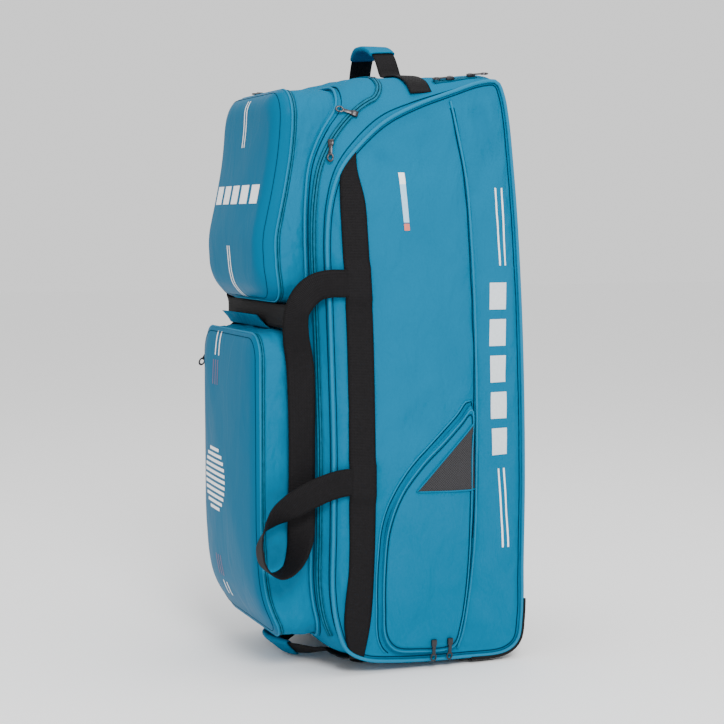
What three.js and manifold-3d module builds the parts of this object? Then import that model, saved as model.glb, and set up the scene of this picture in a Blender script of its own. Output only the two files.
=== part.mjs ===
// Wheeled cricket kit bag, stood on its wheeled end.
// Millimetres, +Z up. The pocketed lid faces -Y, and the side with the zipped side pocket is at +X.
import * as THREE from 'three';
import { mergeVertices } from 'three/addons/utils/BufferGeometryUtils.js';
import Module from 'manifold-3d';

// Main body
const bodyWidth = 350;
const bodyDepth = 340;
const bodyHeight = 955;
const frontSwell = 38;
const swellSharpness = 7.5;
const sideSwell = 12;
const shellWall = 3;
const seatGap = 0.4;
const cutGap = 0.3;
const bandGap = 0.7;

// Lid and zips
const lidInset = 15;
const lidBottom = 60;
const lidTopDepth = 78;
const zipWidth = 10;
const zipThickness = 1.6;
const zipCornerRadius = 16;
const backZipInset = 24;

// Pockets on the lid
const pocketInset = 30;
const pocketWall = 2.5;
const pocketTopDrop = 15;
const upperPocketHeight = 336;
const upperPocketDepth = 80;
const upperPocketCorner = 46;
const upperFaceRelief = 28;
const strapSpace = 50;
const lowerPocketBottom = 62;
const lowerPocketDepth = 105;
const lowerPocketCorner = 38;
const lowerFaceRelief = 9;
const lowerFaceCrown = 7;
const upperFaceCrown = 5;
const pocketZipWidth = 7;
const pocketZipInset = 1.2;

// Piping and webbing
const pipingRadius = 3;
const seamRadius = 2.4;
const pocketPipingRadius = 2.4;
const webbingWidth = 44;
const webbingThickness = 2.6;
const grabWebbingWidth = 38;

// Side pocket and label
const sidePocketRim = 7;
const sidePocketRise = 15;
const sidePocketWall = 2;
const labelWidth = 10;
const labelLength = 92;
const labelThickness = 1;

// Carry handles
const handleReach = 146;
const handleSpan = 317;
const handleStandOff = 12;
const farLoopReach = 138;
const farRunGap = 10;
const wrapLength = 160;
const wrapReach = 25;
const wrapHeight = 19;
const wrapWall = 2.5;
const wrapGap = 0.6;

// Grab handles
const topHandleSpan = 130;
const topHandleRise = 52;
const bottomHandleSpan = 190;
const bottomHandleReach = 78;
const bottomHandleHeight = 21;
const sleeveWall = 2.4;
const sleeveGap = 1;
const sleeveLength = 88;

// Hard base
const guardThickness = 9;
const guardTop = 107;
const guardFront = 59;
const boardTop = 650;
const boardThickness = 3;
const baseInset = 6;
const wheelRadius = 41;
const wheelWidth = 30;
const wheelDepth = 129;
const wheelInset = 44;
const wheelRunningGap = 4;
const wheelSideGap = 2.5;
const housingWall = 4;
const axleRadius = 5;
const axleGap = 0.3;
const footRadius = 19;
const footDepth = 84;
const footInset = 90;

// Zip pulls
const sliderLength = 12;
const sliderWidth = 8;
const sliderHeight = 4.4;
const tagLength = 27;
const tagWidth = 6;
const tagThickness = 1.8;
const tagRing = 4.4;
const tagHole = 2.3;
const pullGap = 0.6;

const teal = 0x0a86b4;
const deepTeal = 0x0577a3;
const black = 0x141416;
const darkMetal = 0x3c3c40;

const halfWidth = bodyWidth / 2;
const halfDepth = bodyDepth / 2;
const pocketHalf = halfWidth - pocketInset;
const upperPocketTop = bodyHeight - pocketTopDrop;
const upperPocketBottom = upperPocketTop - upperPocketHeight;
const lowerPocketTop = upperPocketBottom - strapSpace;
const strapHeight = lowerPocketTop + strapSpace / 2;
const vector = (x, y, z) => new THREE.Vector3(x, y, z);

const wasm = await Module();
wasm.setup();

function table(columns, rows) {
  const names = columns.split(' ');
  return rows.map((row) => Object.fromEntries(names.map((name, i) => [name, row[i]])));
}

// Side outline at the piping. depth is a share of half the depth, height of the height,
// and swell of frontSwell: how far the middle of the bag stands out beyond the outline.
const outlineRows = table('depth height swell', [
  [-0.35, 0.021, 0],
  [-0.66, 0.029, 0.1],
  [-0.84, 0.047, 0.35],
  [-0.94, 0.09, 0.75],
  [-0.985, 0.147, 0.95],
  [-0.977, 0.25, 1],
  [-0.972, 0.387, 1],
  [-0.988, 0.503, 1],
  [-1.012, 0.628, 1],
  [-1.035, 0.733, 1],
  [-1.0, 0.798, 1.2],
  [-0.9, 0.85, 1.65],
  [-0.71, 0.891, 2.15],
  [-0.47, 0.928, 2.2],
  [-0.176, 0.955, 1.5],
  [0.235, 0.982, 0.8],
  [0.53, 0.999, 0.45],
  [0.68, 1.0, 0.4],
  [0.74, 0.98, 0.3],
  [0.788, 0.94, 0.2],
  [0.835, 0.87, 0.15],
  [0.888, 0.772, 0.15],
  [0.941, 0.63, 0.15],
  [0.976, 0.482, 0.15],
  [0.994, 0.314, 0.15],
  [0.988, 0.175, 0.08],
  [0.985, 0.075, 0],
  [0.945, 0.034, 0],
  [0.82, 0.018, 0],
  [0.35, 0.016, 0],
]);
const longSpan = 105;
const stationShares = [-1, -0.95, -0.88, -0.74, 0, 0.74, 0.88, 0.95, 1];
const innerStationShares = [-1, -0.9, -0.6, 0.6, 0.9, 1];
const panelShares = [0.93, 0.6];

// The swell rides along as the x of each outline point. A long span gets a point halfway.
function outlineSamples() {
  const points = outlineRows.map((row) => vector(
    row.swell * frontSwell,
    row.depth * halfDepth,
    row.height * bodyHeight,
  ));
  const curve = new THREE.CatmullRomCurve3(points, true, 'centripetal');
  const spaced = points.flatMap((point, i) => {
    const long = point.distanceTo(points[(i + 1) % points.length]) > longSpan;
    return long ? [point, curve.getPoint((i + 0.5) / points.length)] : [point];
  });
  return spaced.map((point, i) => {
    const before = spaced[(i + spaced.length - 1) % spaced.length];
    const after = spaced[(i + 1) % spaced.length];
    const along = new THREE.Vector2(after.y - before.y, after.z - before.z).normalize();
    return { y: point.y, z: point.z, swell: point.x, normalY: -along.y, normalZ: along.x };
  });
}
const outline = outlineSamples();

function skinPoint(x, sample, offset) {
  const share = 1 - Math.min(1, Math.abs(x) / halfWidth) ** swellSharpness;
  const reach = sample.swell * share + offset;
  return vector(x, sample.y + sample.normalY * reach, sample.z + sample.normalZ * reach);
}

function signedVolume(positions, indices) {
  let volume = 0;
  const corner = (i) => vector(positions[3 * i], positions[3 * i + 1], positions[3 * i + 2]);
  for (let i = 0; i < indices.length; i += 3) {
    const a = corner(indices[i]);
    const b = corner(indices[i + 1]);
    const c = corner(indices[i + 2]);
    volume += a.dot(b.cross(c));
  }
  return volume;
}

// One closed mesh through rings of equal length. An open end gets a pole point or a flat cap.
function loft(rings, { startPole = null, endPole = null, closed = false } = {}) {
  const positions = [];
  const indices = [];
  const count = rings[0].length;
  const addPoint = (point) => {
    positions.push(point.x, point.y, point.z);
    return positions.length / 3 - 1;
  };
  rings.forEach((ring) => ring.forEach(addPoint));
  const bands = closed ? rings.length : rings.length - 1;
  for (let r = 0; r < bands; r += 1) {
    const from = r * count;
    const to = ((r + 1) % rings.length) * count;
    for (let i = 0; i < count; i += 1) {
      const j = (i + 1) % count;
      indices.push(from + i, from + j, to + j, from + i, to + j, to + i);
    }
  }
  const capEnd = (first, pole, turned) => {
    const fan = (a, b, c) => (turned ? indices.push(a, c, b) : indices.push(a, b, c));
    if (pole) {
      const tip = addPoint(pole);
      for (let i = 0; i < count; i += 1) {
        fan(tip, first + i, first + ((i + 1) % count));
      }
      return;
    }
    for (let i = 1; i < count - 1; i += 1) {
      fan(first, first + i, first + i + 1);
    }
  };
  if (!closed) {
    capEnd(0, startPole, true);
    capEnd((rings.length - 1) * count, endPole, false);
  }
  if (signedVolume(positions, indices) < 0) {
    indices.reverse();
  }
  const geometry = new THREE.BufferGeometry();
  geometry.setAttribute('position', new THREE.Float32BufferAttribute(positions, 3));
  geometry.setIndex(indices);
  return geometry;
}

// Sweep a section of [across, outward] points along a path. across(i) is the way that the
// section's first direction looks at each point, before the roll there is added.
function sweepRings(path, section, { across, rolls = null, closed = false }) {
  const last = path.length - 1;
  return path.map((point, i) => {
    const before = closed ? path[(i + last) % path.length] : path[Math.max(0, i - 1)];
    const after = closed ? path[(i + 1) % path.length] : path[Math.min(last, i + 1)];
    const along = after.clone().sub(before).normalize();
    const width = across(i).clone();
    width.addScaledVector(along, -along.dot(width)).normalize();
    if (rolls) {
      width.applyAxisAngle(along, THREE.MathUtils.degToRad(rolls[i]));
    }
    const outward = along.clone().cross(width);
    return section.map(([a, o]) => point.clone()
      .addScaledVector(width, a)
      .addScaledVector(outward, o));
  });
}

function sweep(path, section, options) {
  return loft(sweepRings(path, section, options), { closed: options.closed ?? false });
}

function roundSection(radius, sides) {
  return Array.from({ length: sides }, (_, i) => {
    const angle = (i / sides) * Math.PI * 2;
    return [Math.cos(angle) * radius, Math.sin(angle) * radius];
  });
}

function flatSection(width, thickness) {
  const w = width / 2;
  const t = thickness / 2;
  return [[-w, -t], [w, -t], [w, t], [-w, t]];
}

// A smooth path through rows of points, with the roll of each row carried between them.
function smoothPath(points, rolls, steps) {
  const curve = new THREE.CatmullRomCurve3(points, false, 'centripetal');
  const spans = points.length - 1;
  const path = [];
  const turned = [];
  for (let i = 0; i <= spans * steps; i += 1) {
    const place = i / steps;
    const row = Math.min(spans - 1, Math.floor(place));
    path.push(curve.getPoint(i / (spans * steps)));
    turned.push(THREE.MathUtils.lerp(rolls[row], rolls[row + 1], place - row));
  }
  return { path, rolls: turned };
}

function toSolid(geometry) {
  const bare = geometry.clone();
  bare.deleteAttribute('normal');
  bare.deleteAttribute('uv');
  const merged = mergeVertices(bare, 1e-4);
  return new wasm.Manifold(new wasm.Mesh({
    numProp: 3,
    vertProperties: new Float32Array(merged.attributes.position.array),
    triVerts: new Uint32Array(merged.index.array),
  }));
}

function toGeometry(solid) {
  const mesh = solid.getMesh();
  const geometry = new THREE.BufferGeometry();
  const positions = [];
  for (let i = 0; i < mesh.numVert; i += 1) {
    positions.push(...mesh.vertProperties.slice(i * mesh.numProp, i * mesh.numProp + 3));
  }
  geometry.setAttribute('position', new THREE.Float32BufferAttribute(positions, 3));
  geometry.setIndex([...mesh.triVerts]);
  return geometry;
}

function largestOf(solid) {
  return solid.decompose().reduce((best, next) => (next.volume() > best.volume() ? next : best));
}

function boxSolid(low, high) {
  const size = high.clone().sub(low);
  const middle = low.clone().add(high).multiplyScalar(0.5);
  const geometry = new THREE.BoxGeometry(size.x, size.y, size.z);
  geometry.translate(middle.x, middle.y, middle.z);
  return toSolid(geometry);
}

// A prism along X from an outline in the Y-Z plane.
const sideways = new THREE.Matrix4().makeBasis(vector(0, 1, 0), vector(0, 0, 1), vector(1, 0, 0));
function sidePrism(points, fromX, toX) {
  const shape = new THREE.Shape(points.map(([y, z]) => new THREE.Vector2(y, z)));
  const geometry = new THREE.ExtrudeGeometry(shape, { depth: toX - fromX, bevelEnabled: false });
  geometry.translate(0, 0, fromX);
  return geometry.applyMatrix4(sideways);
}

function barAlongX(radius, fromX, toX, y, z, sides) {
  const geometry = new THREE.CylinderGeometry(radius, radius, toX - fromX, sides);
  geometry.rotateZ(Math.PI / 2);
  geometry.translate((fromX + toX) / 2, y, z);
  return toSolid(geometry);
}

// Body form: stations across the width, and rings that dome each side panel.
function bodyForm(offset, stations, rings) {
  const centreZ = bodyHeight / 2;
  const panelRing = (share, side) => outline.map((sample) => vector(
    side * (halfWidth + offset + sideSwell * (1 - share ** 3)),
    (sample.y + sample.normalY * offset) * share,
    centreZ + (sample.z + sample.normalZ * offset - centreZ) * share,
  ));
  const stationRing = (share) => outline.map((sample) => {
    const point = skinPoint(share * halfWidth, sample, offset);
    point.x = share * (halfWidth + offset);
    return point;
  });
  const pole = (side) => vector(side * (halfWidth + offset + sideSwell), 0, centreZ);
  const far = [...rings].reverse().map((share) => panelRing(share, -1));
  const near = rings.map((share) => panelRing(share, 1));
  const middle = stations.map(stationRing);
  return loft([...far, ...middle, ...near], { startPole: pole(-1), endPole: pole(1) });
}

const bodyMesh = new THREE.Mesh(
  bodyForm(0, stationShares, panelShares),
  new THREE.MeshStandardMaterial({ side: THREE.DoubleSide }),
);
const outerSolid = toSolid(bodyMesh.geometry);
const envelope = toSolid(bodyForm(seatGap, stationShares, panelShares));
const raycaster = new THREE.Raycaster();

// Where a straight line first meets the outside of the body, and the way that face looks.
// A line that passes beside the body stops level with its nearest edge.
function meet(from, direction, edge) {
  raycaster.set(from, direction);
  const hit = raycaster.intersectObject(bodyMesh)[0];
  if (!hit) {
    return { point: edge.clone(), normal: direction.clone().negate() };
  }
  return { point: hit.point, normal: hit.face.normal };
}
const farAway = bodyHeight * 2;
const frontAt = (x, z) => meet(vector(x, -farAway, z), vector(0, 1, 0), vector(x, -halfDepth, z));
const backAt = (x, z) => meet(vector(x, farAway, z), vector(0, -1, 0), vector(x, halfDepth, z));
const topAt = (x, y) => meet(vector(x, y, farAway), vector(0, 0, -1), vector(x, y, bodyHeight));
const bottomAt = (x, y) => meet(vector(x, y, -farAway), vector(0, 0, 1), vector(x, y, 0));
const sideAt = (y, z, side = 1) => meet(
  vector(side * farAway, y, z),
  vector(-side, 0, 0),
  vector(side * halfWidth, y, z),
);

const model = new THREE.Group();
function addNode(name, geometry, color, roughness = 0.8, metalness = 0) {
  const shown = geometry.index ? geometry : mergeVertices(geometry);
  shown.computeVertexNormals();
  const material = new THREE.MeshStandardMaterial({ color, roughness, metalness });
  const mesh = new THREE.Mesh(shown, material);
  mesh.name = name;
  model.add(mesh);
  return mesh;
}

// What lies on the bag is trimmed to its skin, with the seat gap between them.
function seated(geometry) {
  return toSolid(geometry).subtract(envelope);
}

function addSeated(name, geometry, color, roughness) {
  return addNode(name, toGeometry(largestOf(seated(geometry))), color, roughness);
}

// Tub and lid: one hollow form cut along the lid's edge.
const wheelX = halfWidth - wheelInset;
const housingFrom = wheelX - wheelWidth / 2 - wheelSideGap - housingWall;
const housingTo = wheelX + wheelWidth / 2 + wheelSideGap + housingWall;
const wellRadius = wheelRadius + wheelRunningGap;
const housingRadius = wellRadius + housingWall;

function wheelBar(radius, grow, side) {
  const from = side > 0 ? housingFrom : -housingTo;
  const to = side > 0 ? housingTo : -housingFrom;
  return barAlongX(radius, from - grow, to + grow, wheelDepth, wheelRadius, 20);
}

function lidRegion(grow) {
  const edge = halfWidth - lidInset + grow;
  return boxSolid(
    vector(-edge, -bodyDepth * 2, lidBottom - grow),
    vector(edge, -lidTopDepth + grow, bodyHeight * 2),
  );
}

function addTubAndLid() {
  const innerSolid = toSolid(bodyForm(-shellWall, innerStationShares, [0.7]));
  const shell = outerSolid.subtract(innerSolid);
  let tub = shell.subtract(lidRegion(cutGap));
  [-1, 1].forEach((side) => {
    tub = tub.subtract(wheelBar(housingRadius + seatGap, seatGap, side));
  });
  addNode('body_shell', toGeometry(largestOf(tub)), teal, 0.75);
  addNode('front_lid', toGeometry(largestOf(shell.intersect(lidRegion(0)))), teal, 0.75);
}

// Where the zip runs, and the way the bag's skin looks there: up one side of the lid, over the
// top end and down the other side.
function lidEdge() {
  const edge = halfWidth - lidInset;
  const turn = zipCornerRadius;
  const half = [];
  outline.forEach((sample, i) => {
    const point = skinPoint(edge, sample, 0);
    if (sample.z > lidBottom && sample.y < 0 && point.y < -lidTopDepth - turn) {
      const along = skinPoint(edge, outline[i + 1], 0).sub(skinPoint(edge, outline[i - 1], 0));
      const across = skinPoint(edge + 2, sample, 0).sub(skinPoint(edge - 2, sample, 0));
      half.push({ point, normal: across.cross(along).normalize() });
    }
  });
  for (let i = 0; i <= 3; i += 1) {
    const angle = (i / 3) * Math.PI / 2;
    half.push(topSkin(edge - turn * (1 - Math.cos(angle)), -lidTopDepth - turn * (1 - Math.sin(angle))));
  }
  const across = stationShares.map((share) => share * halfWidth).filter((x) => x >= 0 && x < edge - turn);
  across.reverse().forEach((x) => half.push(topSkin(x, -lidTopDepth)));
  return half;
}

function frontSkin(x, z) {
  const step = 3;
  const slopeX = (frontAt(x + step, z).point.y - frontAt(x - step, z).point.y) / (2 * step);
  const slopeZ = (frontAt(x, z + step).point.y - frontAt(x, z - step).point.y) / (2 * step);
  return { point: frontAt(x, z).point, normal: vector(slopeX, -1, slopeZ).normalize() };
}

function topSkin(x, y) {
  const step = 3;
  const slopeX = (topAt(x + step, y).point.z - topAt(x - step, y).point.z) / (2 * step);
  const slopeY = (topAt(x, y + step).point.z - topAt(x, y - step).point.z) / (2 * step);
  return { point: topAt(x, y).point, normal: vector(-slopeX, -slopeY, 1).normalize() };
}

function surfaceBand(places, width, thickness) {
  const section = flatSection(width, thickness);
  const path = places.map(({ point }) => point);
  const sideWays = places.map(({ normal }, i) => {
    const before = path[Math.max(0, i - 1)];
    const after = path[Math.min(path.length - 1, i + 1)];
    return normal.clone().cross(after.clone().sub(before));
  });
  const rings = sweepRings(path, section, { across: (i) => sideWays[i] });
  return loft(rings.map((ring, i) => {
    const { normal } = places[i];
    const middle = path[i].dot(normal);
    return ring.map((corner) => drape(corner, normal, corner.dot(normal) > middle ? thickness : 0));
  }));
}

// Lay a corner of a band on the skin, or a given height above that.
function drape(corner, normal, height) {
  const reach = halfDepth / 2;
  const skin = meet(corner.clone().addScaledVector(normal, reach), normal.clone().negate(), corner);
  return skin.point.addScaledVector(normal, bandGap + height);
}

function backZipPlaces() {
  return [0, 1, 2, 3, 4].map((i) => topSkin(halfWidth - backZipInset, halfDepth * (0.1 + 0.11 * i)));
}

function addZips() {
  const half = lidEdge();
  const mirrored = half.slice(0, -1).reverse().map(({ point, normal }) => ({
    point: vector(-point.x, point.y, point.z),
    normal: vector(-normal.x, normal.y, normal.z),
  }));
  return {
    main: addSeated('main_zip', surfaceBand([...half, ...mirrored], zipWidth, zipThickness), black),
    back: addSeated('back_zip', surfaceBand(backZipPlaces(), zipWidth, zipThickness), black),
  };
}

// Rounded pocket outline in X and Z, anticlockwise seen from the front.
function pocketOutline(bottom, top, radius) {
  const points = [];
  const corners = [
    [pocketHalf - radius, bottom + radius, -90],
    [pocketHalf - radius, top - radius, 0],
    [-pocketHalf + radius, top - radius, 90],
    [-pocketHalf + radius, bottom + radius, 180],
  ];
  const cornerSteps = 3;
  const lidRows = outline.filter((sample) => sample.y < 0)
    .map((sample) => skinPoint(pocketHalf, sample, 0).z)
    .filter((z) => z > bottom + radius && z < top - radius);
  const level = [0.5, 0, -0.5].map((share) => share * (pocketHalf - radius) * 1.2);
  const runs = [
    lidRows.map((z) => ({ x: pocketHalf, z })),
    level.map((x) => ({ x, z: top })),
    [...lidRows].reverse().map((z) => ({ x: -pocketHalf, z })),
    level.map((x) => ({ x: -x, z: bottom })),
  ];
  corners.forEach(([x, z, startAngle], c) => {
    for (let i = 0; i <= cornerSteps; i += 1) {
      const angle = THREE.MathUtils.degToRad(startAngle + (i / cornerSteps) * 90);
      points.push({ x: x + radius * Math.cos(angle), z: z + radius * Math.sin(angle) });
    }
    points.push(...runs[c]);
  });
  return points;
}

function alongRows(rows, share) {
  const after = rows.findIndex((row) => row.height >= share);
  if (after <= 0) {
    return rows[after === 0 ? 0 : rows.length - 1].depth;
  }
  const low = rows[after - 1];
  const high = rows[after];
  const t = (share - low.height) / (high.height - low.height);
  return THREE.MathUtils.lerp(low.depth, high.depth, t);
}

// Where the face of each pocket starts, from its bottom to its top: height is a share of the
// pocket's height, and depth of its depth in front of the lid.
const upperSeamRows = table('height depth', [
  [0, 0.8], [0.12, 0.96], [0.3, 1], [0.52, 0.8], [0.68, 0.68], [0.82, 0.62], [1, 0.62],
]);
const lowerSeamRows = table('height depth', [
  [0, 0.6], [0.04, 0.72], [0.1, 0.86], [0.18, 0.95], [0.35, 1], [1, 1],
]);

function addPocket(name, form) {
  const points = pocketOutline(form.bottom, form.top, form.corner);
  const middleZ = (form.bottom + form.top) / 2;
  const seamAt = (z) => {
    const share = (z - form.bottom) / (form.top - form.bottom);
    return -halfDepth - form.depth * alongRows(form.rows, share);
  };
  const inset = (point, amount) => {
    const shareX = 1 - amount / pocketHalf;
    const shareZ = 1 - amount / ((form.top - form.bottom) / 2);
    return { x: point.x * shareX, z: middleZ + (point.z - middleZ) * shareZ };
  };
  const place = (point, y) => vector(point.x, y, point.z);
  const zipHalf = pocketZipWidth / 2;

  const gusset = loft(points.map((point) => {
    const seam = seamAt(point.z) + zipHalf + cutGap;
    const inner = inset(point, pocketWall);
    const middle = (seam - halfDepth * 0.7) / 2;
    return [place(point, seam), place(point, middle), place(point, -halfDepth * 0.7),
      place(inner, -halfDepth * 0.7), place(inner, seam)];
  }), { closed: true });
  addSeated(`${name}_gusset`, gusset, teal, 0.75);

  const zip = loft(points.map((point) => {
    const seam = seamAt(point.z);
    const outer = inset(point, pocketZipInset);
    const inner = inset(point, pocketWall);
    return [place(outer, seam - zipHalf), place(outer, seam + zipHalf),
      place(inner, seam + zipHalf), place(inner, seam - zipHalf)];
  }), { closed: true });
  addNode(`${name}_zip`, zip, black, 0.8);

  const reliefAt = (share) => {
    const fillet = 0.2;
    const rise = share > 1 - fillet ? Math.sqrt(Math.max(0, 1 - ((share - 1 + fillet) / fillet) ** 2)) : 1;
    return form.relief * rise + form.crown * (1 - share * share);
  };
  const faceRing = (share, wall) => points.map((point) => {
    const base = inset(point, wall);
    const x = base.x * share;
    const z = middleZ + (base.z - middleZ) * share;
    return vector(x, seamAt(z) - zipHalf - cutGap - reliefAt(share) + wall, z);
  });
  const rimRing = (wall) => points.map((point) => {
    const base = inset(point, wall);
    return vector(base.x, seamAt(point.z) - zipHalf - cutGap, base.z);
  });
  const shares = [0.55, 0.84, 0.95];
  const outerRings = shares.map((share) => faceRing(share, 0));
  const innerRings = shares.map((share) => faceRing(share, pocketWall)).reverse();
  const pole = (wall) => vector(0, seamAt(middleZ) - zipHalf - cutGap - reliefAt(0) + wall, middleZ);
  const face = loft([...outerRings, rimRing(0), rimRing(pocketWall), ...innerRings], {
    startPole: pole(0),
    endPole: pole(pocketWall),
  });
  addNode(`${name}_face`, face, deepTeal, 0.4);

  const pipe = points.map((point) => {
    const out = inset(point, -(pocketPipingRadius + seatGap));
    const skin = frontSkin(out.x, out.z);
    return skin.point.addScaledVector(skin.normal, pocketPipingRadius + bandGap);
  });
  const piping = sweep(pipe, roundSection(pocketPipingRadius, 5), {
    across: () => vector(0, 1, 0), closed: true,
  });
  addSeated(`${name}_piping`, piping, teal, 0.7);
}

function addPockets() {
  addPocket('upper_pocket', {
    bottom: upperPocketBottom,
    top: upperPocketTop,
    corner: upperPocketCorner,
    depth: upperPocketDepth,
    relief: upperFaceRelief,
    crown: upperFaceCrown,
    rows: upperSeamRows,
  });
  addPocket('lower_pocket', {
    bottom: lowerPocketBottom,
    top: lowerPocketTop,
    corner: lowerPocketCorner,
    depth: lowerPocketDepth,
    relief: lowerFaceRelief,
    crown: lowerFaceCrown,
    rows: lowerSeamRows,
  });
}

// Side panels. The seam's depth is a share of half the depth, its height of the body's height.
const seamRows = table('depth height', [
  [0.2, 0.968], [0.26, 0.919], [0.35, 0.836], [0.4, 0.734], [0.435, 0.632], [0.465, 0.46],
  [0.46, 0.25], [0.44, 0.182], [0.4, 0.112], [0.35, 0.055], [0.3, 0.03],
]);
// Left edge of the upright webbing from the bottom to the top, as a share of half the depth, and
// its width there as a share of webbingWidth.
const webbingRows = table('height left width', [
  [0.03, -0.82, 0.54], [0.09, -0.88, 1], [0.19, -0.84, 0.96], [0.33, -0.84, 1],
  [0.47, -0.845, 0.98], [0.6, -0.865, 0.98], [0.66, -0.885, 0.98], [0.74, -0.905, 0.96],
  [0.8, -0.92, 0.92], [0.85, -0.9, 0.58], [0.88, -0.78, 0.08],
]);

function sideGrid(rows, columns, side, thickness) {
  const face = (lift) => rows.map((row) => columns.map((share) => {
    const y = THREE.MathUtils.lerp(row.left, row.right, share);
    return sideAt(y, row.z, side).point.addScaledVector(vector(side, 0, 0), lift);
  }));
  const low = face(-thickness);
  const high = face(seatGap + thickness);
  return loft(low.map((line, i) => [...line, ...high[i].reverse()]));
}

function insideOutline(inset, side) {
  const points = outline.map((sample) => [
    sample.y - sample.normalY * inset,
    sample.z - sample.normalZ * inset,
  ]);
  const from = side > 0 ? halfWidth - 20 : -halfWidth - 80;
  return toSolid(sidePrism(points, from, from + 100));
}

function addSidePanel(side, suffix) {
  const pipe = outline.map((sample) => {
    const reach = (pipingRadius + seatGap) * Math.SQRT1_2;
    const point = skinPoint(side * halfWidth, sample, reach);
    point.x = side * (halfWidth + reach);
    return point;
  });
  addNode(`side_piping_${suffix}`, sweep(pipe, roundSection(pipingRadius, 5), {
    across: () => vector(1, 0, 0), closed: true,
  }), teal, 0.7);

  const rows = webbingRows.map((row) => ({
    z: row.height * bodyHeight,
    left: row.left * halfDepth,
    right: row.left * halfDepth + row.width * webbingWidth,
  }));
  const webbing = seated(sideGrid(rows, [0, 0.5, 1], side, webbingThickness));
  const kept = webbing.intersect(insideOutline(pipingRadius / 2, side));
  addNode(`side_webbing_${suffix}`, toGeometry(largestOf(kept)), black, 0.9);

  const seamPoints = seamRows.map((row) => {
    const surface = sideAt(row.depth * halfDepth, row.height * bodyHeight, side).point;
    surface.x += side * (seamRadius + seatGap * 2);
    return surface;
  });
  const route = smoothPath(seamPoints, seamRows.map(() => 0), 2);
  const seam = sweep(route.path, roundSection(seamRadius, 5), { across: () => vector(1, 0, 0) });
  addNode(`side_seam_${suffix}`, seam, teal, 0.7);
}

// Side pocket outline, clockwise from its top: shares of half the depth and of the height.
const sidePocketRows = table('depth height', [
  [0.41, 0.452], [0.3, 0.432], [0.12, 0.4], [-0.12, 0.36], [-0.34, 0.31], [-0.47, 0.25], [-0.51, 0.18],
  [-0.51, 0.11], [-0.48, 0.058], [-0.38, 0.036], [-0.1, 0.028], [0.18, 0.027], [0.27, 0.034], [0.33, 0.07],
  [0.375, 0.13], [0.4, 0.2], [0.41, 0.28], [0.415, 0.37],
]);
const meshCorner = table('depth height', [[-0.19, 0.311], [0.9, 0.3], [0.9, 0.53], [0.43, 0.432]]);

function addSidePocket() {
  const shares = [0.35, 0.75, 0.9, 0.97];
  const centre = { y: -0.03 * halfDepth, z: 0.2 * bodyHeight };
  const corners = sidePocketRows.map((row) => ({ y: row.depth * halfDepth, z: row.height * bodyHeight }));
  const span = corners.reduce((widest, point) => Math.max(widest, Math.abs(point.y - centre.y)), 0);
  const ring = (share, rise) => corners.map((corner) => {
    const y = centre.y + (corner.y - centre.y) * share;
    const z = centre.z + (corner.z - centre.z) * share;
    const surface = sideAt(y, z).point;
    surface.x += rise;
    return surface;
  });
  const riseAt = (share) => {
    const edge = sidePocketRim * Math.min(1, (1 - share) / 0.03);
    return edge + (sidePocketRise - sidePocketRim) * (1 - share ** 2);
  };
  const inner = (share) => share * (1 - sidePocketWall / span);
  const outerRings = shares.map((share) => ring(share, riseAt(share) + seatGap));
  const innerRings = shares.map((share) => ring(inner(share), riseAt(share) - sidePocketWall)).reverse();
  const pole = (lift) => ring(0, sidePocketRise + lift)[0];
  const panel = loft([
    ...outerRings,
    ring(1, sidePocketRim * 0.8 + seatGap),
    ring(1, -1),
    ring(inner(1), -1),
    ...innerRings,
  ], { startPole: pole(seatGap), endPole: pole(-sidePocketWall) });
  const pocket = seated(panel);
  const wedge = (grow) => toSolid(sidePrism(
    meshCorner.map((row, i) => [
      row.depth * halfDepth - (i === 0 ? grow * 3 : 0),
      row.height * bodyHeight + (i < 2 ? -grow : grow),
    ]),
    halfWidth - 20,
    halfWidth + 90,
  ));
  addNode('side_pocket_mesh', toGeometry(largestOf(pocket.intersect(wedge(0)))), 0x3a4046, 0.9);
  return addNode('side_pocket_panel', toGeometry(largestOf(pocket.subtract(wedge(cutGap)))), teal, 0.75);
}

function addSideLabel() {
  const top = 0.847 * bodyHeight;
  const rows = [0, 0.5, 1].map((share) => {
    const left = -0.345 * halfDepth + share * 0.06 * halfDepth;
    return { z: top - share * labelLength, left, right: left + labelWidth };
  });
  addSeated('side_label', sideGrid(rows, [0, 1], 1, labelThickness), 0xb9d4e6, 0.6);
}

// The near carry handle leaves the upright webbing, hangs down, makes an open loop and comes back.
// forward is a share of handleReach, height of handleSpan, out of handleStandOff and roll is in degrees.
const nearHandleRows = table('forward height out roll', [
  [-0.1, 1.0, 1.0, 0],
  [0.06, 1.0, 1.0, 0],
  [0.2, 1.0, 0.9, 0],
  [0.34, 0.985, 0.5, 8],
  [0.46, 0.94, 0, 28],
  [0.545, 0.86, -0.5, 48],
  [0.55, 0.74, -0.7, 40],
  [0.5, 0.6, -0.9, 26],
  [0.475, 0.42, -1.1, 8],
  [0.47, 0.22, -1.2, 0],
  [0.47, 0, -1.3, 0],
  [0.475, -0.18, -1.25, 12],
  [0.52, -0.32, -0.6, 50],
  [0.64, -0.42, 0.1, 80],
  [0.8, -0.45, 0.3, 88],
  [0.95, -0.4, 0.4, 90],
  [1.0, -0.31, 0.5, 86],
  [0.95, -0.22, 0.6, 68],
  [0.82, -0.15, 0.6, 36],
  [0.64, -0.1, 0.9, 6],
  [0.46, -0.055, 1.1, 0],
  [0.26, -0.02, 1.1, 0],
  [0.06, 0, 1.0, 0],
  [-0.1, 0, 1.0, 0],
]);

const handleTopShare = 0.664;
const handleRootShare = 0.86;

// How far out a strap lies where it is sewn to the upright webbing.
function sewnX(height) {
  const y = -handleRootShare * halfDepth + webbingWidth / 2;
  return sideAt(y, height).point.x + seatGap / 2 + webbingThickness * 1.5;
}

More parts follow.
